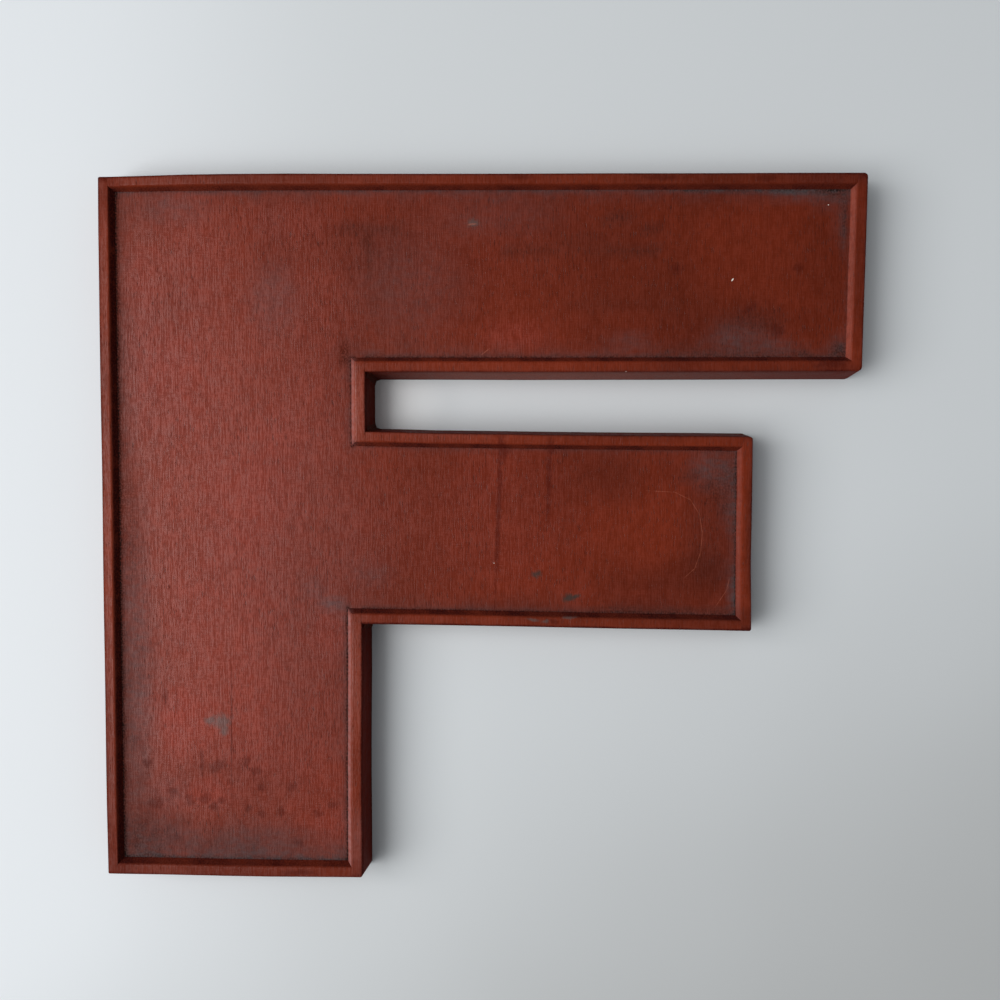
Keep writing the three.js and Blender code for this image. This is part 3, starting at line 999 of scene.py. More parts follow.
class Shader:
    """A material's nodes, added one by one and wired by their sockets."""

    def __init__(self, name: str) -> None:
        """Makes a material with a principled shader.

        Args:
            name: The material's name.
        """
        self.material = bpy.data.materials.new(name)
        self.material.use_nodes = True
        self.nodes = self.material.node_tree.nodes
        self.links = self.material.node_tree.links
        self.surface = self.nodes["Principled BSDF"]
        self.place = self.nodes.new("ShaderNodeTexCoord").outputs["Object"]

    def put(self, socket: Socket, value: "Socket | float | Sequence[float]") -> None:
        """Wires a socket to a node's output, or sets its constant.

        Args:
            socket: The socket.
            value: The output or the constant.
        """
        if isinstance(value, Socket):
            self.links.new(value, socket)
        else:
            socket.default_value = value

    def noise(self, size: Sequence[float], detail: float = 2.0, seed: float = 0.0) -> Socket:
        """Adds soft noise over the piece.

        Args:
            size: The size of its features along x, y and z, in millimetres.
            detail: How many finer layers it has.
            seed: Moves to another part of the pattern.

        Returns:
            The noise, about 0.5 on average.
        """
        mapping = self.nodes.new("ShaderNodeMapping")
        mapping.inputs["Scale"].default_value = [1 / (s * MM) for s in size]
        mapping.inputs["Location"].default_value = (seed, seed * 0.7, seed * 1.3)
        self.links.new(self.place, mapping.inputs["Vector"])
        texture = self.nodes.new("ShaderNodeTexNoise")
        texture.inputs["Scale"].default_value = 1.0
        texture.inputs["Detail"].default_value = detail
        self.links.new(mapping.outputs["Vector"], texture.inputs["Vector"])
        return texture.outputs["Fac"]

    def span(self, value: Socket, low: float, high: float, start: float = 0.0, end: float = 1.0) -> Socket:
        """Eases a value from one number to another as it goes from low to high.

        Args:
            value: The value.
            low: Where the result starts to change.
            high: Where it stops.
            start: The result at low.
            end: The result at high.

        Returns:
            The result.
        """
        node = self.nodes.new("ShaderNodeMapRange")
        node.interpolation_type = "SMOOTHSTEP"
        for name, number in (("From Min", low), ("From Max", high), ("To Min", start), ("To Max", end)):
            node.inputs[name].default_value = number
        self.links.new(value, node.inputs["Value"])
        return node.outputs["Result"]

    def sum(self, operation: str, *values: "Socket | float") -> Socket:
        """Works out a sum of values, two at a time.

        Args:
            operation: The sum, such as ADD, MULTIPLY or MINIMUM.
            values: The values.

        Returns:
            The result.
        """
        result = values[0]
        for value in values[1:]:
            node = self.nodes.new("ShaderNodeMath")
            node.operation = operation
            self.put(node.inputs[0], result)
            self.put(node.inputs[1], value)
            result = node.outputs["Value"]
        return result

    def blend(self, share: "Socket | float", one: "Socket | Colour", other: "Socket | Colour") -> Socket:
        """Blends two colours.

        Args:
            share: How much of the second colour shows.
            one: The first colour.
            other: The second colour.

        Returns:
            The blended colour.
        """
        node = self.nodes.new("ShaderNodeMix")
        node.data_type = "RGBA"
        self.put(node.inputs["Factor"], share)
        self.put(node.inputs[6], one)
        self.put(node.inputs[7], other)
        return node.outputs[2]

    def toned(self, colour: Socket, tone: Socket) -> Socket:
        """Makes a colour lighter or darker.

        Args:
            colour: The colour.
            tone: How light it gets, with 1 for no change.

        Returns:
            The toned colour.
        """
        node = self.nodes.new("ShaderNodeVectorMath")
        node.operation = "SCALE"
        self.links.new(colour, node.inputs["Vector"])
        self.links.new(tone, node.inputs["Scale"])
        return node.outputs["Vector"]

    def painted(self, layer: str) -> list[Socket]:
        """Reads a colour layer that is painted on the mesh.

        Args:
            layer: The layer's name.

        Returns:
            Its four channels.
        """
        attribute = self.nodes.new("ShaderNodeAttribute")
        attribute.attribute_name = layer
        parts = self.nodes.new("ShaderNodeSeparateColor")
        self.links.new(attribute.outputs["Color"], parts.inputs["Color"])
        return [*parts.outputs, attribute.outputs["Alpha"]]

    def reach(self, middle: Sequence[float], half: Sequence[float], turn: float = 0.0) -> Socket:
        """Measures how far the surface lies from the middle of an oval.

        Args:
            middle: The oval's middle along x, y and z.
            half: Its half sizes.
            turn: Its turn about z, in radians.

        Returns:
            The distance, which is 1 on the oval itself.
        """
        mapping = self.nodes.new("ShaderNodeMapping")
        mapping.vector_type = "TEXTURE"
        mapping.inputs["Location"].default_value = middle
        mapping.inputs["Rotation"].default_value = (0, 0, turn)
        mapping.inputs["Scale"].default_value = half
        self.links.new(self.place, mapping.inputs["Vector"])
        length = self.nodes.new("ShaderNodeVectorMath")
        length.operation = "LENGTH"
        self.links.new(mapping.outputs["Vector"], length.inputs[0])
        return length.outputs["Value"]

    def marked(self, flecks: Sequence[Fleck], ragged: Socket, softness: float) -> Socket:
        """Adds oval marks with ragged edges.

        Args:
            flecks: The marks.
            ragged: Noise that frays their edges.
            softness: How soft their edges are, as a share of their size.

        Returns:
            1 inside the marks and 0 outside.
        """
        reaches = []
        for fleck in flecks:
            middle = (fleck.x * MM, fleck.y * MM, 0)
            half = (fleck.half_width * MM, fleck.half_height * MM, 1)
            reaches.append(self.reach(middle, half, math.radians(fleck.turn)))
        frayed = self.sum("ADD", self.sum("MINIMUM", *reaches), self.span(ragged, 0.3, 0.7, -0.35, 0.35))
        return self.span(frayed, 1 - softness, 1 + softness, 1.0, 0.0)

    def bump(self, height: Socket, depth: float) -> None:
        """Gives the surface a relief.

        Args:
            height: The height from 0 to 1.
            depth: The height of 1, in millimetres.
        """
        node = self.nodes.new("ShaderNodeBump")
        node.inputs["Distance"].default_value = depth * MM
        self.links.new(height, node.inputs["Height"])
        self.links.new(node.outputs["Normal"], self.surface.inputs["Normal"])


@dataclass(frozen=True)
class OldPaint:
    """Red-brown paint, brushed over open grained wood, worn and dusty.

    Each row of fibres gives their length in millimetres, a seed and how much they tell.
    """

    name: str
    marks: tuple[Fleck, ...] = ()
    deep: Colour = srgb(102, 34, 15)
    fresh: Colour = srgb(117, 40, 19)
    pore: Colour = srgb(60, 20, 13)
    grime: Colour = srgb(30, 18, 14)
    dust: Colour = srgb(82, 70, 71)
    halo: Colour = srgb(142, 46, 26)
    shade: Colour = srgb(76, 26, 14)
    roughness: float = 0.36
    specular: float = 0.22
    grain: float = 0.11
    crust: float = 0.5
    relief: float = 0.17
    fibre_width: float = 0.58
    fibres: tuple[tuple[float, float, float], ...] = ((22, 5.7, 0.22), (8, 2.2, 0.30), (2.6, 6.4, 0.28))

    def material(self) -> bpy.types.Material:
        """Builds the finish.

        Returns:
            The material.
        """
        shader = Shader(self.name)
        dust, grime, halo, shade = shader.painted("soil")

        # The paint itself: broad patches and a finer mottle
        broad = shader.noise((70, 95, 70), 3)
        mottle = shader.noise((5, 7, 5), 4, 3.1)
        colour = shader.blend(shader.span(broad, 0.35, 0.65), self.deep, self.fresh)
        colour = shader.blend(shader.sum("MULTIPLY", halo, 0.8), colour, self.halo)
        colour = shader.blend(shade, colour, self.shade)

        # Fibres of three lengths that run up and down, and brush lines across them that come and go
        crowd = shader.noise((30, 45, 30), 2, 7.3)
        brushed = shader.sum("SUBTRACT", shader.noise((5, 0.5, 0.5), 1, 9.2), 0.5)
        brushed = shader.sum("MULTIPLY", brushed, shader.span(crowd, 0.35, 0.65, 0.32, 0.12))
        fibres = []
        for length, seed, share in self.fibres:
            line = shader.noise((self.fibre_width, length, self.fibre_width), 0, seed)
            fibres.append(shader.sum("MULTIPLY", line, share))
        grain = shader.sum("ADD", *fibres, brushed, 0.1)
        worn = shader.span(halo, 0, 0.5, 0.65, 1.0)
        streak = shader.sum("MULTIPLY", shader.span(grain, 0.42, 0.58, -self.grain, self.grain), worn)
        mottled = shader.span(mottle, 0.3, 0.7, 0.93, 1.07)
        colour = shader.toned(colour, shader.sum("MULTIPLY", shader.sum("ADD", streak, 1.0), mottled))

        # Open pores: short dark lines that run up and down
        pores = shader.noise((0.55, 4.5, 0.55), 1, 1.9)
        crowded = shader.span(crowd, 0.3, 0.7, 0.3, 1.0)
        pore = shader.sum("MULTIPLY", shader.span(pores, 0.62, 0.72), crowded)
        colour = shader.blend(shader.sum("MULTIPLY", pore, 0.55), colour, self.pore)

        # What time left on it
        ragged = shader.noise((2.2, 3.2, 2.2), 4, 4.4)
        crust = shader.noise((0.8, 1.1, 0.8), 3, 6.9)
        crust = shader.span(crust, 0.34, 0.66, 0.92 - self.crust, 0.92 + self.crust)
        grime_share = shader.sum("MULTIPLY", grime, crust)
        blotch = shader.noise((4, 2.4, 4), 4, 8.1)
        dust_share = shader.sum("MULTIPLY", dust, shader.span(blotch, 0.35, 0.65, 0.58, 1.12))
        colour = shader.blend(dust_share, colour, self.dust)
        colour = shader.blend(grime_share, colour, self.grime)
        gloss = shader.span(halo, 0, 0.5, 0.64, 1.0)
        for mark, look in MARK_LOOKS.items():
            flecks = [fleck for fleck in self.marks if fleck.mark is mark]
            if flecks:
                marked = shader.marked(flecks, ragged, look.softness)
                colour = shader.blend(shader.sum("MULTIPLY", marked, look.share), colour, look.tint)
                gloss = shader.sum("MULTIPLY", gloss, shader.span(marked, 0, 1, 1.0, 1 - look.dulled))
        shader.put(shader.surface.inputs["Base Color"], colour)

        # Gloss goes where dust and grime lie, and the relief follows the grain
        rough = shader.span(mottle, 0.3, 0.7, self.roughness - 0.05, self.roughness + 0.07)
        rough = shader.sum("ADD", rough, shader.sum("MULTIPLY", dust_share, 0.3))
        shader.put(shader.surface.inputs["Roughness"], shader.sum("ADD", rough, grime_share))
        sheen = shader.span(grain, 0.42, 0.58, self.specular * 0.62, self.specular * 1.38)
        shader.put(shader.surface.inputs["Specular IOR Level"], shader.sum("MULTIPLY", sheen, gloss))
        shader.bump(shader.sum("ADD", grain, shader.sum("MULTIPLY", pore, -0.5)), self.relief)
        return shader.material


@dataclass(frozen=True)
class BareBack:
    """The unpainted back of an old board, with paint that ran over its edges.

    Its grain is drawn out across the letter and along the stem by the two factors.
    """

    name: str
    across: float
    along: float
    wood: Colour = srgb(150, 116, 80)
    late: Colour = srgb(108, 78, 52)
    stain: Colour = srgb(72, 52, 38)
    paint: Colour = srgb(112, 42, 26)
    roughness: float = 0.78

    def material(self) -> bpy.types.Material:
        """Builds the finish.

        Returns:
            The material.
        """
        shader = Shader(self.name)
        overspill = shader.painted("overspill")[0]
        rings = shader.noise((self.across * 6, self.along * 6, 6), 4)
        lines = shader.noise((self.across * 1.7, self.along * 1.7, 1.7), 2, 3.6)
        fibres = shader.noise((self.across * 0.7, self.along * 0.7, 0.7), 3, 2.3)
        blot = shader.noise((45, 45, 45), 4, 6.1)
        colour = shader.blend(shader.span(rings, 0.3, 0.7, 0.0, 0.7), self.wood, self.late)
        colour = shader.blend(shader.span(lines, 0.42, 0.62, 0.0, 0.65), colour, self.late)
        colour = shader.blend(shader.span(fibres, 0.45, 0.75, 0.0, 0.5), colour, self.late)
        colour = shader.blend(shader.span(blot, 0.5, 0.8, 0.0, 0.6), colour, self.stain)
        ragged = shader.noise((6, 6, 6), 4, 8.8)
        spilt = shader.sum("ADD", overspill, shader.span(ragged, 0.2, 0.8, -0.4, 0.4))
        run_over = shader.span(spilt, 0.42, 0.58)
        colour = shader.blend(run_over, colour, self.paint)
        shader.put(shader.surface.inputs["Base Color"], colour)
        shader.put(shader.surface.inputs["Roughness"], shader.span(run_over, 0, 1, self.roughness, 0.5))
        shader.surface.inputs["Specular IOR Level"].default_value = 0.3
        shader.bump(shader.sum("ADD", fibres, lines), 0.22)
        return shader.material


@dataclass(frozen=True)
class DullSteel:
    """Old steel of screws and pins, spotted with rust."""

    name: str
    bright: Colour = srgb(128, 124, 116)
    dark: Colour = srgb(84, 78, 70)
    rust: Colour = srgb(96, 58, 36)

    def material(self) -> bpy.types.Material:
        """Builds the finish.

        Returns:
            The material.
        """
        shader = Shader(self.name)
        tarnish = shader.noise((1.6, 1.6, 1.6), 3)
        rust = shader.span(shader.noise((2.4, 2.4, 2.4), 4, 2.7), 0.52, 0.64)
        colour = shader.blend(shader.span(tarnish, 0.35, 0.65), self.bright, self.dark)
        colour = shader.blend(rust, colour, self.rust)
        shader.put(shader.surface.inputs["Base Color"], colour)
        shader.put(shader.surface.inputs["Metallic"], shader.span(rust, 0, 1, 1.0, 0.1))
        shader.put(shader.surface.inputs["Roughness"], shader.span(rust, 0, 1, 0.42, 0.85))
        shader.bump(tarnish, 0.06)
        return shader.material


# The letter's pieces


def paint_walls(piece: bpy.types.Object, paint: bpy.types.Material) -> None:
    """Gives the outer walls of a piece the walls' paint, a darker copy of the paint that paints the shade
    on them.

    Args:
        piece: The piece, which has its front's paint already.
        paint: The walls' paint.
    """
    piece.data.materials.append(paint)
    for polygon in piece.data.polygons:
        if abs(polygon.normal.z) < WALL_SLOPE:
            polygon.material_index = len(piece.data.materials) - 1


@dataclass
class FaceSheet:
    """The sunk face: one sheet of open grained wood under old paint."""

    outline: Outline
    shaded_wall_paint: bpy.types.Material
    node: str = "face_panel"
    slot: str = "face_paint"
    grid: float = 2.2 * MM
    wander: float = 26 * MM
    foot_lines: tuple[float, ...] = (0, 0.4 * MM, 0.9 * MM, 1.6 * MM, 2.8 * MM)

    def build(self) -> bpy.types.Object:
        """Models the sheet.

        Returns:
            The finished sheet.
        """
        low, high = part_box(self.node)
        size = high - low
        bpy.ops.object.select_all(action="DESELECT")
        bpy.ops.mesh.primitive_grid_add(
            x_subdivisions=math.ceil(size.x / self.grid),
            y_subdivisions=math.ceil(size.y / self.grid),
            size=1,
            location=((low.x + high.x) / 2, (low.y + high.y) / 2, high.z),
            scale=(size.x, size.y, 1),
        )
        sheet = bpy.context.object
        sheet.name = "face_sheet"
        bpy.ops.object.transform_apply(location=True, rotation=False, scale=True)
        self.cut_outline(sheet)
        self.round_corners(sheet)
        self.score_feet(sheet)
        self.close_edges(sheet, low.z)
        self.soil(sheet)
        self.outline.planed_by_hand(sheet)
        finish_shading(sheet)
        return sheet

    def cut_outline(self, sheet: bpy.types.Object) -> None:
        """Cuts the flat grid along the walls and takes off what lies outside.

        Args:
            sheet: The flat grid.
        """
        with edit_mode(sheet):
            for wall in self.outline.walls.values():
                score(wall)
            bpy.ops.mesh.select_mode(type="FACE")
            bpy.ops.mesh.select_all(action="DESELECT")
        centres = np.empty(len(sheet.data.polygons) * 3)
        sheet.data.polygons.foreach_get("center", centres)
        sheet.data.polygons.foreach_set("select", self.outline.outside(centres.reshape(-1, 3)))
        with edit_mode(sheet):
            bpy.ops.mesh.delete(type="FACE")

    def round_corners(self, sheet: bpy.types.Object) -> None:
        """Cuts the sheet's outer corners round.

        Args:
            sheet: The flat sheet.
        """
        with edit_mode(sheet):
            for corner in self.outline.corners:
                for plane in corner.planes:
                    self.select_near(sheet, corner.point)
                    bpy.ops.mesh.bisect(
                        plane_co=plane.point,
                        plane_no=plane.normal,
                        clear_outer=True,
                        threshold=CUT_THRESHOLD,
                    )

    def select_near(self, sheet: bpy.types.Object, corner: Vector) -> None:
        """Selects the sheet's faces near a corner.

        Args:
            sheet: The sheet in edit mode.
            corner: The corner.
        """
        bpy.ops.mesh.select_all(action="DESELECT")
        shape = bmesh.from_edit_mesh(sheet.data)
        for face in shape.faces:
            away = (face.calc_center_median() - corner).length
            face.select_set(away < self.outline.corner_reach)
        bmesh.update_edit_mesh(sheet.data)

    def score_feet(self, sheet: bpy.types.Object) -> None:
        """Scores lines along the feet of the bevels, where dust, grime and painted shade are laid.

        Args:
            sheet: The flat sheet.
        """
        with edit_mode(sheet):
            for edge in Edge:
                for offset in self.foot_lines:
                    score(self.outline.foot_line(edge, offset))

    def close_edges(self, sheet: bpy.types.Object, back_z: float) -> None:
        """Gives the sheet its thickness, with walls that flare out to the back, and closes its back.

        Args:
            sheet: The flat sheet.
            back_z: The height of its back.
        """
        slope = self.outline.walls[Edge.LEFT].normal
        depth = self.outline.face_z - back_z
        flare = depth * slope.z / math.hypot(slope.x, slope.y)
        with edit_mode(sheet):
            bpy.ops.mesh.select_mode(type="EDGE")
            bpy.ops.mesh.select_all(action="DESELECT")
            bpy.ops.mesh.select_non_manifold(
                use_wire=False,
                use_multi_face=False,
                use_non_contiguous=False,
                use_verts=False,
            )
            bpy.ops.mesh.extrude_edges_move(TRANSFORM_OT_translate={"value": (0, 0, -depth)})
            bpy.ops.transform.shrink_fatten(value=flare, use_even_offset=True)
            bpy.ops.mesh.edge_face_add()
            bpy.ops.mesh.select_all(action="SELECT")
            bpy.ops.mesh.normals_make_consistent(inside=False)

    def soil(self, sheet: bpy.types.Object) -> None:
        """Paints dust, grime, worn patches and painted shade at the feet of the bevels on the sheet, and
        painted light on its wall over the slot.

        Args:
            sheet: The finished sheet.
        """
        points = points_of(sheet.data)
        soil = np.zeros((len(points), len(Soil)))
        waver = uneven(points, self.wander)
        for edge, (strength, reach) in EDGE_DUST.items():
            distance = self.outline.edge_distance(points, edge, self.outline.bevels[edge]) / MM
            soil[:, Soil.DUST.value] += strength * np.exp(-distance / (reach * waver))
            # Grime and painted shade in the corner at the foot of each bevel
            grime, grime_and_shade_reach = CORNER_GRIME_AND_SHADE[edge]
            soil[:, Soil.GRIME.value] += grime * np.exp(-distance / (grime_and_shade_reach * waver))
        for item in SOILS:
            soil[:, item.soil.value] += item.amount(points[:, :2] / MM)
        skin = np.min([self.outline.under_skin(points, edge) for edge in Edge], axis=0)
        soil[np.isfinite(skin)] = 0
        # Painted light on the wall over the slot
        soil[:, Soil.HALO.value] += self.outline.lit_share(points)
        store_soil(sheet, soil)

    def dress(self, sheet: bpy.types.Object) -> None:
        """Paints the sheet and places it.

        Args:
            sheet: The finished sheet.
        """
        sheet.data.materials.append(OldPaint("face_paint", FACE_MARKS).material())
        paint_walls(sheet, self.shaded_wall_paint)
        place(sheet, self.slot, self.node)


@dataclass
class RimStrips:
    """The ten bevelled strips that stand round the face."""

    outline: Outline
    shaded_wall_paint: bpy.types.Material
    slot: str = "rim_paint"
    joint_fill: float = 0.15 * MM
    outer_round: float = 0.35 * MM
    inner_round: float = 0.8 * MM
    round_steps: int = 3
    bevel_rows: tuple[float, ...] = (0.4 * MM, 0.9 * MM, 1.6 * MM, 2.4 * MM, 3.1 * MM)
    arris_rows: tuple[float, ...] = (0.8 * MM, 1.5 * MM)
    longest: float = 4 * MM
    margin: float = 1 * MM
    joint_grime: float = 0.15
    joint_reach: float = 0.45 * MM
    wall_skin: float = 0.05 * MM
    seam_grime: float = 0.35
    seam_from: float = 0.95
    wander: float = 38 * MM
    foot_share: float = 0.2
    highlight_rise: float = 2.5

    def build(self, edge: Edge) -> bpy.types.Object:
        """Models the strip along one edge.

        Args:
            edge: The edge.

        Returns:
            The finished strip.
        """
        low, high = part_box(edge.strip)
        room = Vector((self.margin,) * 3)
        strip = block(f"{edge.value[0]}_strip", low - room, high + room)
        own = (self.outline.walls[edge], self.outline.bevels[edge])
        with edit_mode(strip):
            for plane in hull_planes(edge.strip):
                is_end = abs(plane.normal.z) < SAME_DIRECTION and not any(
                    plane.normal.dot(side.normal) > SAME_DIRECTION for side in own
                )
                saw(plane.shifted(self.joint_fill) if is_end and not edge.upright else plane)
            for corner in self.outline.corners:
                if edge in corner.edges and edge.upright:
                    for plane in corner.planes:
                        saw(plane)
            if edge.upright:
                for other in Edge:
                    if not other.upright:
                        score(self.outline.walls[other])
            self.round_arrises(strip, edge)
            for height in self.bevel_rows:
                score(Plane(Vector((0, 0, self.outline.face_z + height)), UP))
            for depth in self.arris_rows:
                score(self.outline.walls[edge].shifted(-depth))
            divide_long_edges(strip, self.longest)
        self.soil(strip, edge)
        self.outline.planed_by_hand(strip)
        finish_shading(strip)
        return strip

    def round_arrises(self, strip: bpy.types.Object, edge: Edge) -> None:
        """Rounds the strip's outer arris and the one at the top of its bevel.

        Args:
            strip: The strip in edit mode.
            edge: The edge that it runs along.
        """
        front = Plane(Vector((0, 0, self.outline.front_z)), UP)
        outer = [self.outline.walls[edge]]
        for corner in self.outline.corners:
            if edge in corner.edges and edge.upright:
                outer += [*corner.planes, *(self.outline.walls[e] for e in corner.edges)]

        def exposed(start: Vector, end: Vector) -> bool:
            """Tells whether an arris lies on the front and on an outer side that no other strip covers.

            Args:
                start: One end of the arris.
                end: The other end.

            Returns:
                True if it does.
            """
            sides = [side for side in outer if on_plane(side, start, end)]
            if not sides or not on_plane(front, start, end):
                return False
            beside = (start + end) / 2 + sides[0].normal * self.outline.skin_probe
            return bool(self.outline.outside(np.array([beside]))[0])

        if select_edges(strip, exposed):
            bpy.ops.mesh.bevel(offset=self.outer_round, segments=self.round_steps, affect="EDGES")
        for side in self.outline.sides_of(edge):
            inner = self.outline.bevels[side]
            if select_edges(strip, lambda a, b: on_plane(front, a, b) and on_plane(inner, a, b)):
                bpy.ops.mesh.bevel(offset=self.inner_round, segments=self.round_steps, affect="EDGES")

    def soil(self, strip: bpy.types.Object, edge: Edge) -> None:
        """Lays painted shade and grime on the strip's bevel and along its outer arris, a painted highlight
        on the bevels that face the light, and painted light on its wall over the slot.

        Args:
            strip: The finished strip.
            edge: The edge that it runs along.
        """
        points = points_of(strip.data)
        soil = np.zeros((len(points), len(Soil)))
        depth = self.outline.front_z - points[:, 2]
        sunk = depth / (self.outline.front_z - self.outline.face_z)
        waver = uneven(points, self.wander)
        for side in self.outline.sides_of(edge):
            inside = self.outline.bevels[side].distance(points) > -self.inner_round
            # Painted shade down the bevel, strongest where it faces away from the light, and a dark crack
            # line at its foot
            strength, start, foot = BEVEL_SHADE_AND_GRIME[side]
            at_foot = smooth(1 - (1 - sunk) / self.foot_share)
            grime = np.where(inside, strength * smooth(start * sunk) + foot * at_foot, 0)
            soil[:, Soil.GRIME.value] = np.maximum(soil[:, Soil.GRIME.value], grime * waver)
            # Painted highlight on the bevels that face the light, laid on as pale worn paint and pale dust
            worn, dusty = BEVEL_HIGHLIGHT.get(side, (0, 0))
            lit_share = np.where(inside, smooth(self.highlight_rise * sunk), 0)
            soil[:, Soil.HALO.value] += worn * lit_share
            soil[:, Soil.DUST.value] += dusty * lit_share
        for item in RIM_SOILS:
            soil[:, item.soil.value] += item.amount(points[:, :2] / MM)
        skin = {side: self.outline.under_skin(points, side) for side in Edge}
        on_wall = (np.min(list(skin.values()), axis=0) < self.wall_skin) & (depth > self.outer_round)
        soil[on_wall] = 0
        soil[on_wall & (sunk > self.seam_from), Soil.GRIME.value] = self.seam_grime
        # Dark joint lines, and painted shade with grime along the outer arrises
        line = self.joint_grime * np.exp(self.outline.walls[edge].distance(points) / self.joint_reach)
        for side, (strength, reach) in ARRIS_SHADE_AND_GRIME.items():
            line = np.maximum(line, strength * np.exp(-(skin[side] + depth) / (reach * MM * waver)))
        soil[:, Soil.GRIME.value] += line
        # Painted light on the wall over the slot
        soil[:, Soil.HALO.value] += self.outline.lit_share(points)
        store_soil(strip, soil)

    def dress(self, strips: dict[Edge, bpy.types.Object]) -> None:
        """Paints the strips and places them.

        Args:
            strips: The finished strips.
        """
        # The rim's grime colour is its own red darkened, which also paints the shade on its bevels, and its
        # pale halo and dust colours lay worn paint and the painted highlight on the bevels that face the
        # light
        paint = OldPaint(
            "rim_paint",
            RIM_MARKS,
            deep=srgb(106, 36, 17),
            fresh=srgb(121, 43, 21),
            halo=srgb(158, 72, 52),
            grime=srgb(58, 10, 6),
            dust=srgb(176, 140, 140),
            grain=0.08,
            crust=0.25,
        ).material()
        for edge, strip in strips.items():
            strip.data.materials.append(paint)
            paint_walls(strip, self.shaded_wall_paint)
            place(strip, self.slot, edge.strip)


@dataclass(frozen=True)
class Straight:
    """A straight part of a board: the walls that bound it, joints with a gap, and its height."""

    walls: tuple[Edge, ...]
    beyond: tuple[Edge, ...] = ()
    short_of: tuple[Edge, ...] = ()
    front_half: bool = False


class Board(Enum):
    """A board behind the face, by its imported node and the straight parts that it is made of."""

    STEM = ("stem_board", (
        Straight((Edge.LEFT, Edge.TOP, Edge.SLOT_END, Edge.MIDDLE_ARM_UNDER)),
        Straight((Edge.LEFT, Edge.STEM_RIGHT, Edge.FOOT), short_of=(Edge.SLOT_UPPER,)),
        Straight((Edge.LEFT, Edge.SLOT_END), beyond=(Edge.SLOT_UPPER, Edge.SLOT_LOWER), front_half=True),
        Straight((Edge.LEFT, Edge.STEM_RIGHT, Edge.FOOT), beyond=(Edge.MIDDLE_ARM_UNDER,), front_half=True),
    ))
    TOP_ARM = ("top_arm_board", (
        Straight((Edge.LEFT, Edge.TOP, Edge.TOP_ARM_END, Edge.SLOT_UPPER), front_half=True),
        Straight((Edge.TOP, Edge.TOP_ARM_END, Edge.SLOT_UPPER), beyond=(Edge.SLOT_END,)),
    ))
    MIDDLE_ARM = ("middle_arm_board", (
        Straight((Edge.LEFT, Edge.SLOT_LOWER, Edge.MIDDLE_ARM_END, Edge.MIDDLE_ARM_UNDER), front_half=True),
        Straight((Edge.SLOT_LOWER, Edge.MIDDLE_ARM_END, Edge.MIDDLE_ARM_UNDER), beyond=(Edge.SLOT_END,)),
    ))


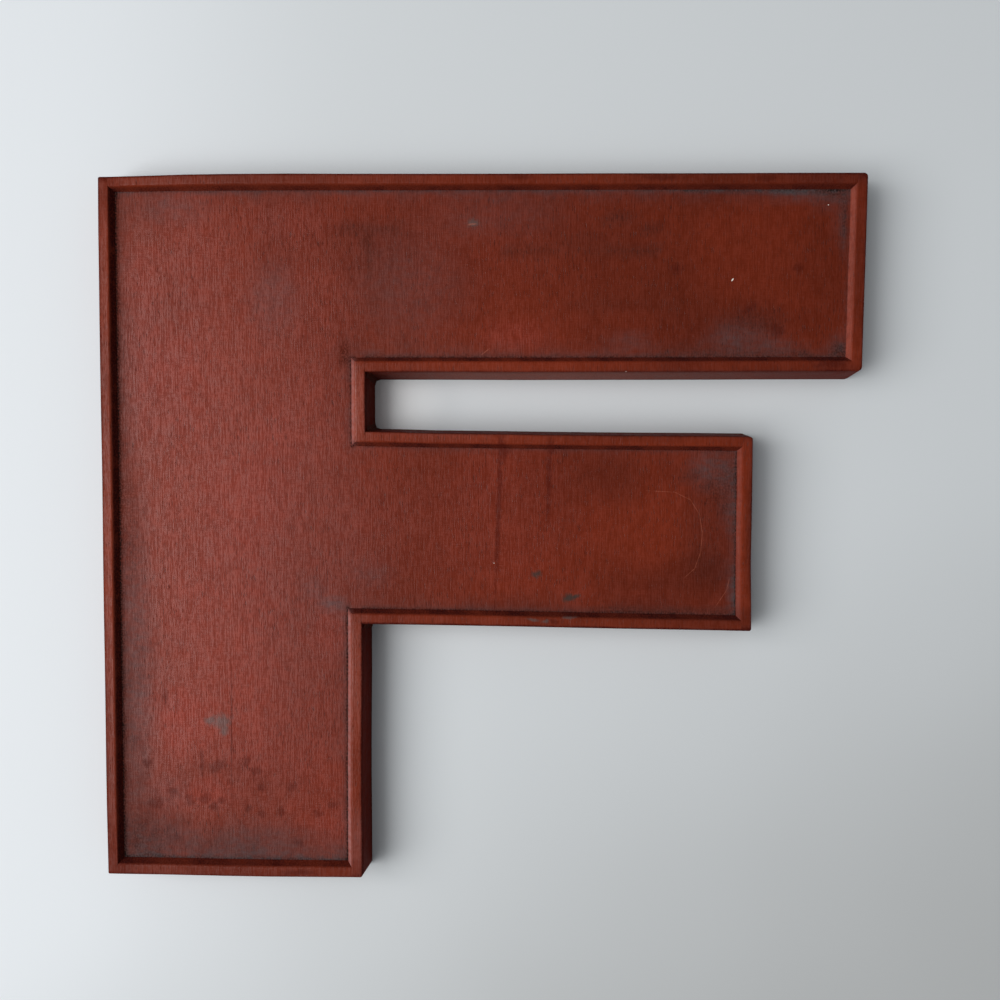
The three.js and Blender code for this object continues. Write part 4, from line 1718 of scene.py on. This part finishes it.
@dataclass
class BackBoards:
    """The half lapped boards behind the face, and the screws that hold them."""

    outline: Outline
    shaded_wall_paint: bpy.types.Material
    slot: str = "board_paint"
    joint_gap: float = 0.2 * MM
    back_round: float = 0.7 * MM
    round_steps: int = 2
    grid: float = 6 * MM
    margin: float = 1 * MM
    sink_mouth: float = 4.2 * MM
    sink_foot: float = 1.9 * MM
    sink_depth: float = 2.3 * MM
    sink_sides: int = 32
    overspill: float = 9 * MM
    grain_length: float = 24
    back_edge_darkening: float = 0.5
    foot_rows: tuple[float, ...] = (1.6 * MM, 3.4 * MM)

    def build(self, board: Board) -> bpy.types.Object:
        """Models one board.

        Args:
            board: The board.

        Returns:
            The finished board.
        """
        node, parts = board.value
        first, *others = (self.straight_part(node, part) for part in parts)
        first.name = node.replace("_board", "_plank")
        for other in others:
            apply_boolean(first, other, "UNION")
        back = Plane(Vector((0, 0, 0)), -UP)
        outer = [*self.outline.walls.values(), *(p for c in self.outline.corners for p in c.planes)]

        def back_arris(start: Vector, end: Vector) -> bool:
            """Tells whether an arris lies where the back meets an outer side."""
            return on_plane(back, start, end) and any(on_plane(side, start, end) for side in outer)

        with edit_mode(first):
            bpy.ops.mesh.select_all(action="SELECT")
            bpy.ops.mesh.dissolve_limited(angle_limit=MERGED_FLAT)
            if select_edges(first, back_arris):
                bpy.ops.mesh.bevel(offset=self.back_round, segments=self.round_steps, affect="EDGES")
        if board is Board.STEM:
            apply_boolean(first, self.countersinks(), "DIFFERENCE")
        self.rule_grid(first)
        self.outline.planed_by_hand(first)
        finish_shading(first)
        return first

    def rule_grid(self, piece: bpy.types.Object) -> None:
        """Scores a grid over a board, so that spilt paint can be laid on in small fields.

        Args:
            piece: The board.
        """
        points = points_of(piece.data)
        low, high = points.min(axis=0), points.max(axis=0)
        with edit_mode(piece):
            for axis, across in enumerate((Vector((1, 0, 0)), Vector((0, 1, 0)))):
                for place_of_line in np.arange(low[axis] + self.grid, high[axis], self.grid):
                    score(Plane(across * place_of_line, across))
            for height in self.foot_rows:
                score(Plane(UP * height, UP))

    def soil(self, piece: bpy.types.Object) -> None:
        """Paints what ran over from the walls to the back, the painted light on the wall over the slot, and
        a darkening towards the back edge of the walls.

        Args:
            piece: The finished board.
        """
        points = points_of(piece.data)
        soil = np.zeros((len(points), len(Soil)))
        # Painted light on the wall over the slot
        soil[:, Soil.HALO.value] = self.outline.lit_share(points)
        # Darker towards the back edge of the walls
        soil[:, Soil.GRIME.value] = self.back_edge_darkening * smooth(1 - points[:, 2] / self.foot_rows[-1])
        store_soil(piece, soil)
        spilt = np.zeros((len(points), len(Soil)))
        for edge in Edge:
            distance = self.outline.edge_distance(points, edge, self.outline.walls[edge])
            spilt[:, 0] = np.maximum(spilt[:, 0], smooth(1 - distance / self.overspill))
        store_soil(piece, spilt, "overspill")

    def straight_part(self, node: str, part: Straight) -> bpy.types.Object:
        """Saws one straight part of a board out of a block.

        Args:
            node: The board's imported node.
            part: What bounds it.

        Returns:
            The part.
        """
        low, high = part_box(node)
        lap_z = (low.z + high.z) / 2
        room = Vector((self.margin, self.margin, 0))
        bottom, top = (lap_z, high.z) if part.front_half else (low.z, lap_z)
        piece = block("part", Vector((low.x, low.y, bottom)) - room, Vector((high.x, high.y, top)) + room)
        with edit_mode(piece):
            for edge in part.walls:
                saw(self.outline.walls[edge])
            for edge in part.beyond:
                saw(self.outline.walls[edge].shifted(self.joint_gap).flipped())
            for edge in part.short_of:
                saw(self.outline.walls[edge].flipped())
            for corner in self.outline.corners:
                if set(corner.edges) <= set(part.walls):
                    for plane in corner.planes:
                        saw(plane)
        return piece

    def countersinks(self) -> bpy.types.Object:
        """Makes the cones that sink the screw heads into the back.

        Returns:
            All cones as one object.
        """
        bpy.ops.object.select_all(action="DESELECT")
        cones = []
        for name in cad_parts:
            if name.startswith(SCREW):
                low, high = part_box(name)
                depth = self.sink_depth + self.margin
                bpy.ops.mesh.primitive_cone_add(
                    vertices=self.sink_sides,
                    radius1=self.sink_mouth,
                    radius2=self.sink_foot,
                    depth=depth,
                    location=((low.x + high.x) / 2, (low.y + high.y) / 2, self.sink_depth - depth / 2),
                )
                cones.append(bpy.context.object)
        for cone in cones:
            cone.select_set(True)
        bpy.context.view_layer.objects.active = cones[0]
        bpy.ops.object.join()
        bpy.ops.object.transform_apply(location=True, rotation=False, scale=False)
        return cones[0]

    def dress(self, boards: dict[Board, bpy.types.Object]) -> None:
        """Paints the walls, leaves the backs bare and places the boards.

        Args:
            boards: The finished boards.
        """
        upright = BareBack("bare_stem_back", 1, self.grain_length).material()
        level = BareBack("bare_arm_back", self.grain_length, 1).material()
        for board, piece in boards.items():
            piece.data.materials.append(self.shaded_wall_paint)
            piece.data.materials.append(upright if board is Board.STEM else level)
            for polygon in piece.data.polygons:
                polygon.material_index = int(polygon.normal.z < BACK_SLOPE)
            self.soil(piece)
            place(piece, self.slot, board.value[0])

    def dress_fasteners(self) -> None:
        """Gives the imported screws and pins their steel."""
        steel = DullSteel("old_steel").material()
        for name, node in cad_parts.items():
            if name.startswith((SCREW, PIN)):
                node.material_slots[0].material = steel
                LOG.info("%s: %s", name, steel.name)


@dataclass
class NookFillets:
    """The beads of filler in the inner corners of the letter's walls."""

    outline: Outline
    shaded_wall_paint: bpy.types.Material
    slot: str = "board_paint"
    long_leg: float = 2.8 * MM
    short_leg: float = 0.9 * MM
    top: float = 21 * MM
    room: float = 6 * MM
    sunk_in: float = 0.05 * MM

    def build(self) -> bpy.types.Object:
        """Models the beads.

        Returns:
            All beads as one object.
        """
        wedges = []
        for one, other in self.outline.nooks:
            wedges.append(self.wedge(one, other))
            wedges.append(self.wedge(other, one))
        first, *others = wedges
        first.name = "corner_fillets"
        for wedge in others:
            apply_boolean(first, wedge, "UNION")
        self.outline.planed_by_hand(first)
        finish_shading(first)
        return first

    def wedge(self, along: Edge, across: Edge) -> bpy.types.Object:
        """Saws one half of a bead, which runs out thinly along one of its two walls.

        Args:
            along: The edge whose wall it runs out on.
            across: The edge at the other side of the corner.

        Returns:
            The half bead.
        """
        wall, other = self.outline.walls[along], self.outline.walls[across]
        corner = self.outline.crossing(wall, other, 0.0)
        room = Vector((self.room, self.room, 0))
        piece = block("wedge", corner - room, corner + room + UP * self.top)
        slope = wall.normal / self.short_leg + other.normal / self.long_leg
        with edit_mode(piece):
            saw(wall.flipped().shifted(self.sunk_in))
            saw(other.flipped().shifted(self.sunk_in))
            saw(Plane(corner + wall.normal * self.short_leg, slope.normalized()))
        return piece

    def dress(self, beads: bpy.types.Object) -> None:
        """Paints the beads like the walls and places them."""
        beads.data.materials.append(self.shaded_wall_paint)
        place(beads, self.slot)


@dataclass
class Studio:
    """The pale floor, the soft light from the left and the camera above the letter."""

    outline: Outline
    floor_half: float = 6.0
    floor_drop: float = 0.1 * MM
    floor_roughness: float = 0.7
    floor_specular: float = 0.15
    floor_colour: Colour = srgb(228, 232, 235)
    # Painted shade: the floor a little darker away from the window
    far_shade_colour: Colour = srgb(217, 221, 223)
    far_reach: tuple[float, float] = (-0.24, -0.05)
    # Painted light that lifts the shadow on the floor in the slot's inner end
    slot_light_colour: Colour = srgb(251, 253, 253)
    slot_place: tuple[float, float, float] = (-0.066, 0.069, 0.0)
    slot_half: tuple[float, float, float] = (0.05, 0.04, 1.0)
    slot_reach: tuple[float, float] = (0.35, 1.0)
    # A painted shadow on the floor towards the corner farthest from the window
    corner_shadow_colour: Colour = srgb(188, 190, 190)
    dim_towards: tuple[float, float, float] = (0.7, -1.3, 0.0)
    dim_reach: tuple[float, float] = (0.1, 0.56)
    dim_waver: float = 0.03
    dim_waves: tuple[float, float, float] = (300, 300, 300)
    sun_from: tuple[float, float, float] = (-0.62, -0.05, 0.78)
    sun_spread: float = math.radians(60)
    sun_power: float = 1.15
    sun_away: float = 3.0
    window_place: tuple[float, float, float] = (-1.05, -0.08, 1.06)
    window_size: float = 1.2
    window_power: float = 14.5
    room_colour: Colour = srgb(236, 240, 244)
    fill: float = 0.24
    backdrop: float = 0.75
    camera_across: float = 219.1 * MM
    camera_down: float = 152.8 * MM
    camera_above: float = 538.1 * MM
    camera_pitch: float = -0.0379
    camera_yaw: float = 0.0089
    lens: float = 36.14
    sensor: float = 36.0
    nearest_seen: float = 10 * MM

    def build(self) -> None:
        """Sets up the floor, the light and the camera."""
        bpy.context.scene.view_settings.view_transform = "Standard"
        self.lay_floor()
        self.light()
        self.aim_camera()

    def lay_floor(self) -> None:
        """Lays the floor that the letter lies on."""
        bpy.ops.object.select_all(action="DESELECT")
        bpy.ops.mesh.primitive_plane_add(size=2 * self.floor_half, location=(0, 0, -self.floor_drop))
        floor = bpy.context.object
        floor.name = "floor"
        floor.data.materials.append(self.floor_paint())
        LOG.info("%s: %d faces", floor.name, len(floor.data.polygons))

    def floor_paint(self) -> bpy.types.Material:
        """Builds the floor's finish.

        Returns:
            The material.
        """
        shader = Shader("floor_paint")

        # Painted shade, a little darker away from the window, and painted light that lifts the shadow in
        # the slot's inner end
        sides = shader.nodes.new("ShaderNodeSeparateXYZ")
        shader.links.new(shader.place, sides.inputs["Vector"])
        far = shader.span(sides.outputs["X"], *self.far_reach)
        colour = shader.blend(far, self.floor_colour, self.far_shade_colour)
        in_slot = shader.span(shader.reach(self.slot_place, self.slot_half), *self.slot_reach, 1.0, 0.0)
        colour = shader.blend(in_slot, colour, self.slot_light_colour)

        # A painted shadow, darker towards the corner that lies farthest from the window
        corner = shader.nodes.new("ShaderNodeVectorMath")
        corner.operation = "DOT_PRODUCT"
        shader.links.new(shader.place, corner.inputs[0])
        corner.inputs[1].default_value = self.dim_towards
        waver = shader.span(shader.noise(self.dim_waves, 2), 0.3, 0.7, -self.dim_waver, self.dim_waver)
        corner_shadow = shader.span(shader.sum("ADD", corner.outputs["Value"], waver), *self.dim_reach)
        colour = shader.blend(corner_shadow, colour, self.corner_shadow_colour)

        shader.put(shader.surface.inputs["Base Color"], colour)
        shader.surface.inputs["Roughness"].default_value = self.floor_roughness
        shader.surface.inputs["Specular IOR Level"].default_value = self.floor_specular
        return shader.material

    def light(self) -> None:
        """Hangs the soft light and the window on the left."""
        away = Vector(self.sun_from).normalized()
        bpy.ops.object.light_add(type="SUN", location=away * self.sun_away)
        sun = bpy.context.object
        sun.rotation_euler = away.to_track_quat("Z", "Y").to_euler()
        sun.data.energy = self.sun_power
        sun.data.angle = self.sun_spread
        place_of_window = Vector(self.window_place)
        bpy.ops.object.light_add(type="AREA", location=place_of_window)
        window = bpy.context.object
        window.rotation_euler = place_of_window.to_track_quat("Z", "Y").to_euler()
        window.data.energy = self.window_power
        window.data.size = self.window_size
        self.light_room()

    def light_room(self) -> None:
        """Lights the letter a little from all round, before a backdrop that the camera sees brighter."""
        world = bpy.data.worlds.new("room")
        bpy.context.scene.world = world
        world.use_nodes = True
        nodes, links = world.node_tree.nodes, world.node_tree.links
        background = nodes["Background"]
        background.inputs["Color"].default_value = self.room_colour
        path = nodes.new("ShaderNodeLightPath")
        level = nodes.new("ShaderNodeMapRange")
        level.inputs["To Min"].default_value = self.fill
        level.inputs["To Max"].default_value = self.backdrop
        links.new(path.outputs["Is Camera Ray"], level.inputs["Value"])
        links.new(level.outputs["Result"], background.inputs["Strength"])

    def aim_camera(self) -> None:
        """Hangs the camera above the letter, measured from the front's top left corner."""
        walls = self.outline.walls
        corner = self.outline.crossing(walls[Edge.LEFT], walls[Edge.TOP], self.outline.front_z)
        spot = corner + Vector((self.camera_across, -self.camera_down, self.camera_above))
        bpy.ops.object.camera_add(location=spot)
        camera = bpy.context.object
        turn = Matrix.Rotation(self.camera_pitch, 4, "X") @ Matrix.Rotation(self.camera_yaw, 4, "Y")
        camera.matrix_world = Matrix.Translation(spot) @ turn
        camera.data.lens = self.lens
        camera.data.sensor_width = self.sensor
        camera.data.clip_start = self.nearest_seen
        bpy.context.scene.camera = camera


def main() -> None:
    """Builds the letter piece by piece, then the studio."""
    logging.basicConfig(level=logging.INFO, format="%(message)s")
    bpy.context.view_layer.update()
    outline = Outline()

    # The walls take a darker copy of the paint, which paints the shade on them, with little gloss; its pale
    # halo colour lays the painted light on the wall over the slot
    shaded_wall_paint = OldPaint(
        "shaded_wall_paint",
        deep=srgb(86, 21, 11),
        fresh=srgb(98, 27, 15),
        halo=srgb(165, 104, 92),
        roughness=0.6,
        specular=0.04,
    ).material()
    face = FaceSheet(outline, shaded_wall_paint)
    face.dress(face.build())
    rim = RimStrips(outline, shaded_wall_paint)
    rim.dress({edge: rim.build(edge) for edge in Edge})
    boards = BackBoards(outline, shaded_wall_paint)
    boards.dress({board: boards.build(board) for board in Board})
    boards.dress_fasteners()
    fillets = NookFillets(outline, shaded_wall_paint)
    fillets.dress(fillets.build())
    Studio(outline).build()


if __name__ == "__main__":
    main()
